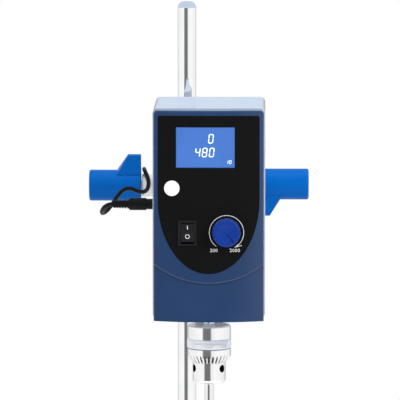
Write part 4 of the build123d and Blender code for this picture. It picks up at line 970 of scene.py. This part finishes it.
class STIRRER_OT_display(bpy.types.Operator):
    """Light the display's plain numbers"""

    bl_idname = "stirrer.display"
    bl_label = "Display numbers"

    def execute(self, context):
        bm = bmesh.new()
        number_on_display(bm, "0", -0.0006, 0.5847, 0.0042, 0.0078, 0.00075, 0.0058)
        number_on_display(bm, "480", -0.0116, 0.5733, 0.0042, 0.0078, 0.00075, 0.0058)
        number_on_display(bm, "10", 0.0142, 0.5676, 0.0019, 0.0032, 0.0005, 0.0027)
        add_piece("display_numbers", bm, "head", "lcd_blue", FINISHES["digits"], smooth=False)
        return {"FINISHED"}


class STIRRER_OT_dial_scale(bpy.types.Operator):
    """Print the line with its arrow and the plain numbers round the speed knob"""

    bl_idname = "stirrer.dial_scale"
    bl_label = "Dial scale"

    def execute(self, context):
        sizes = context.scene.stirrer_sizes
        middle_u = 0.01493
        middle_z = 0.51054
        radius = sizes.scale_radius
        half = sizes.scale_line / 2
        high = sizes.print_height
        bm = bmesh.new()
        left = []
        right = []
        start = 233.0
        end = -47.0
        count = 96
        for k in range(count + 1):
            turn = math.radians(start + (end - start) * k / count)
            for side, line in ((-1, left), (1, right)):
                r = radius + side * half
                line.append((middle_u + r * math.cos(turn), middle_z + r * math.sin(turn)))
        ribbon(bm, left, right, on_front, 0.0, high)
        tip = (middle_u + radius * math.cos(math.radians(-60)) - 0.0006, middle_z + radius * math.sin(math.radians(-60)) - 0.0002)
        barbs = (
            (0.0, 0.0), (0.0062, 0.0016), (0.0061, 0.0021), (0.0029, 0.00125), (0.0035, 0.0029),
            (0.0031, 0.0031),
        )
        head = [(tip[0] + u, tip[1] + v) for u, v in barbs]
        prism(bm, head, on_front, 0.0, high)
        add_piece("dial_line", bm, "head", "button_white", FINISHES["ink"], smooth=False)
        for name, text, u, z in (
            ("dial_low_number", "200", 0.0043, 0.4957),
            ("dial_high_number", "2000", 0.0218, 0.4957),
        ):
            number = printed_number(text, 0.004, 0.00003)
            made = bmesh.ops.extrude_face_region(number, geom=list(number.faces))
            lifted = {v for v in made["geom"] if isinstance(v, bmesh.types.BMVert)}
            for v in number.verts:
                height = high if v in lifted else 0.0
                v.co = on_front(u + v.co.x, z + v.co.y, height)
            add_piece(name, number, "head", "button_white", FINISHES["ink"], smooth=False)
        return {"FINISHED"}


class STIRRER_OT_rocker_marks(bpy.types.Operator):
    """Print the stroke and the ring of the rocker switch"""

    bl_idname = "stirrer.rocker_marks"
    bl_label = "Rocker marks"

    def execute(self, context):
        throw = math.radians(7.5)
        slope = math.tan(throw)

        def on_rocker(u, v, height):
            depth = 0.0031 + abs(v) * slope + height
            point = Vector((u, -depth, v))
            return ROCKER_POSITION + Matrix.Rotation(-throw, 3, "X") @ point

        bm = bmesh.new()
        prism(
            bm,
            [(-0.0003, 0.0028), (0.0003, 0.0028), (0.0003, 0.0058), (-0.0003, 0.0058)],
            on_rocker, 0.0, 0.00006,
        )
        inner = []
        outer = []
        for k in range(33):
            turn = 2 * math.pi * k / 32
            inner.append((0.00142 * math.cos(turn), -0.0031 + 0.00142 * math.sin(turn)))
            outer.append((0.00188 * math.cos(turn), -0.0031 + 0.00188 * math.sin(turn)))
        rows = []
        for a, b in zip(inner[:-1], outer[:-1]):
            rows.append([
                bm.verts.new(on_rocker(*a, 0.0)), bm.verts.new(on_rocker(*b, 0.0)),
                bm.verts.new(on_rocker(*b, 0.00006)), bm.verts.new(on_rocker(*a, 0.00006)),
            ])
        for row, after in zip(rows, rows[1:] + rows[:1]):
            for i in range(4):
                j = (i + 1) % 4
                bm.faces.new((row[i], row[j], after[j], after[i]))
        add_piece("rocker_marks", bm, "power_rocker", "button_white", FINISHES["ink"], smooth=False)
        return {"FINISHED"}


class STIRRER_OT_chuck_knurl(bpy.types.Operator):
    """Cut the diamond knurl round the chuck's sleeve"""

    bl_idname = "stirrer.chuck_knurl"
    bl_label = "Chuck knurl"

    def execute(self, context):
        sizes = context.scene.stirrer_sizes
        columns = sizes.knurl_columns
        radius = 0.01835
        low = 0.40885
        high = 0.41655
        per = 4
        around = columns * per
        rows = 28
        pitch = 2 * math.pi * radius / columns
        bm = bmesh.new()
        grid = []
        for r in range(rows + 1):
            z = low + (high - low) * r / rows
            edge = min(1.0, min(r, rows - r) / 1.5)
            line = []
            for c in range(around):
                arc = c / per
                level = (z - low) / pitch
                one = abs(((arc + level) % 1.0) - 0.5) * 2
                two = abs(((arc - level) % 1.0) - 0.5) * 2
                lift = min(one, two) * sizes.knurl_height * edge
                turn = 2 * math.pi * c / around
                out = radius + 0.00003 + lift
                line.append(bm.verts.new((HEAD_X + out * math.cos(turn), out * math.sin(turn), z)))
            grid.append(line)
        inside = radius - 0.0003
        for z in (low, high):
            line = []
            for c in range(around):
                turn = 2 * math.pi * c / around
                line.append(bm.verts.new((HEAD_X + inside * math.cos(turn), inside * math.sin(turn), z)))
            grid.append(line)
        order = [grid[-2]] + grid[:-2] + [grid[-1]]
        for line, after in zip(order, order[1:] + order[:1]):
            for c in range(around):
                j = (c + 1) % around
                bm.faces.new((line[c], line[j], after[j], after[c]))
        add_piece("chuck_knurl", bm, "chuck_ring", "chuck_chrome", smooth=False)
        return {"FINISHED"}


class STIRRER_PT_panel(bpy.types.Panel):
    """Buttons for the stirrer's steps, with its sizes, colours and studio settings"""

    bl_label = "Overhead Stirrer"
    bl_idname = "STIRRER_PT_panel"
    bl_space_type = "VIEW_3D"
    bl_region_type = "UI"
    bl_category = "Stirrer"

    def draw(self, context):
        layout = self.layout
        scene = context.scene
        for operator in OPERATORS:
            layout.operator(operator.bl_idname)
        for group in (scene.stirrer_sizes, scene.stirrer_colours, scene.stirrer_studio):
            box = layout.box()
            for name in group.__annotations__:
                box.prop(group, name)


OPERATORS = (
    STIRRER_OT_studio,
    STIRRER_OT_finishes,
    STIRRER_OT_lead,
    STIRRER_OT_display,
    STIRRER_OT_dial_scale,
    STIRRER_OT_rocker_marks,
    STIRRER_OT_chuck_knurl,
)

GROUPS = (StirrerSizes, StirrerColours, StirrerStudio)


def register():
    for made in GROUPS + OPERATORS + (STIRRER_PT_panel,):
        bpy.utils.register_class(made)
    bpy.types.Scene.stirrer_sizes = PointerProperty(type=StirrerSizes)
    bpy.types.Scene.stirrer_colours = PointerProperty(type=StirrerColours)
    bpy.types.Scene.stirrer_studio = PointerProperty(type=StirrerStudio)


def unregister():
    del bpy.types.Scene.stirrer_studio
    del bpy.types.Scene.stirrer_colours
    del bpy.types.Scene.stirrer_sizes
    for made in reversed(GROUPS + OPERATORS + (STIRRER_PT_panel,)):
        bpy.utils.unregister_class(made)


def main():
    register()
    bpy.ops.stirrer.studio()
    bpy.ops.stirrer.finishes()
    bpy.ops.stirrer.lead()
    bpy.ops.stirrer.display()
    bpy.ops.stirrer.dial_scale()
    bpy.ops.stirrer.rocker_marks()
    bpy.ops.stirrer.chuck_knurl()


if __name__ == "__main__":
    main()
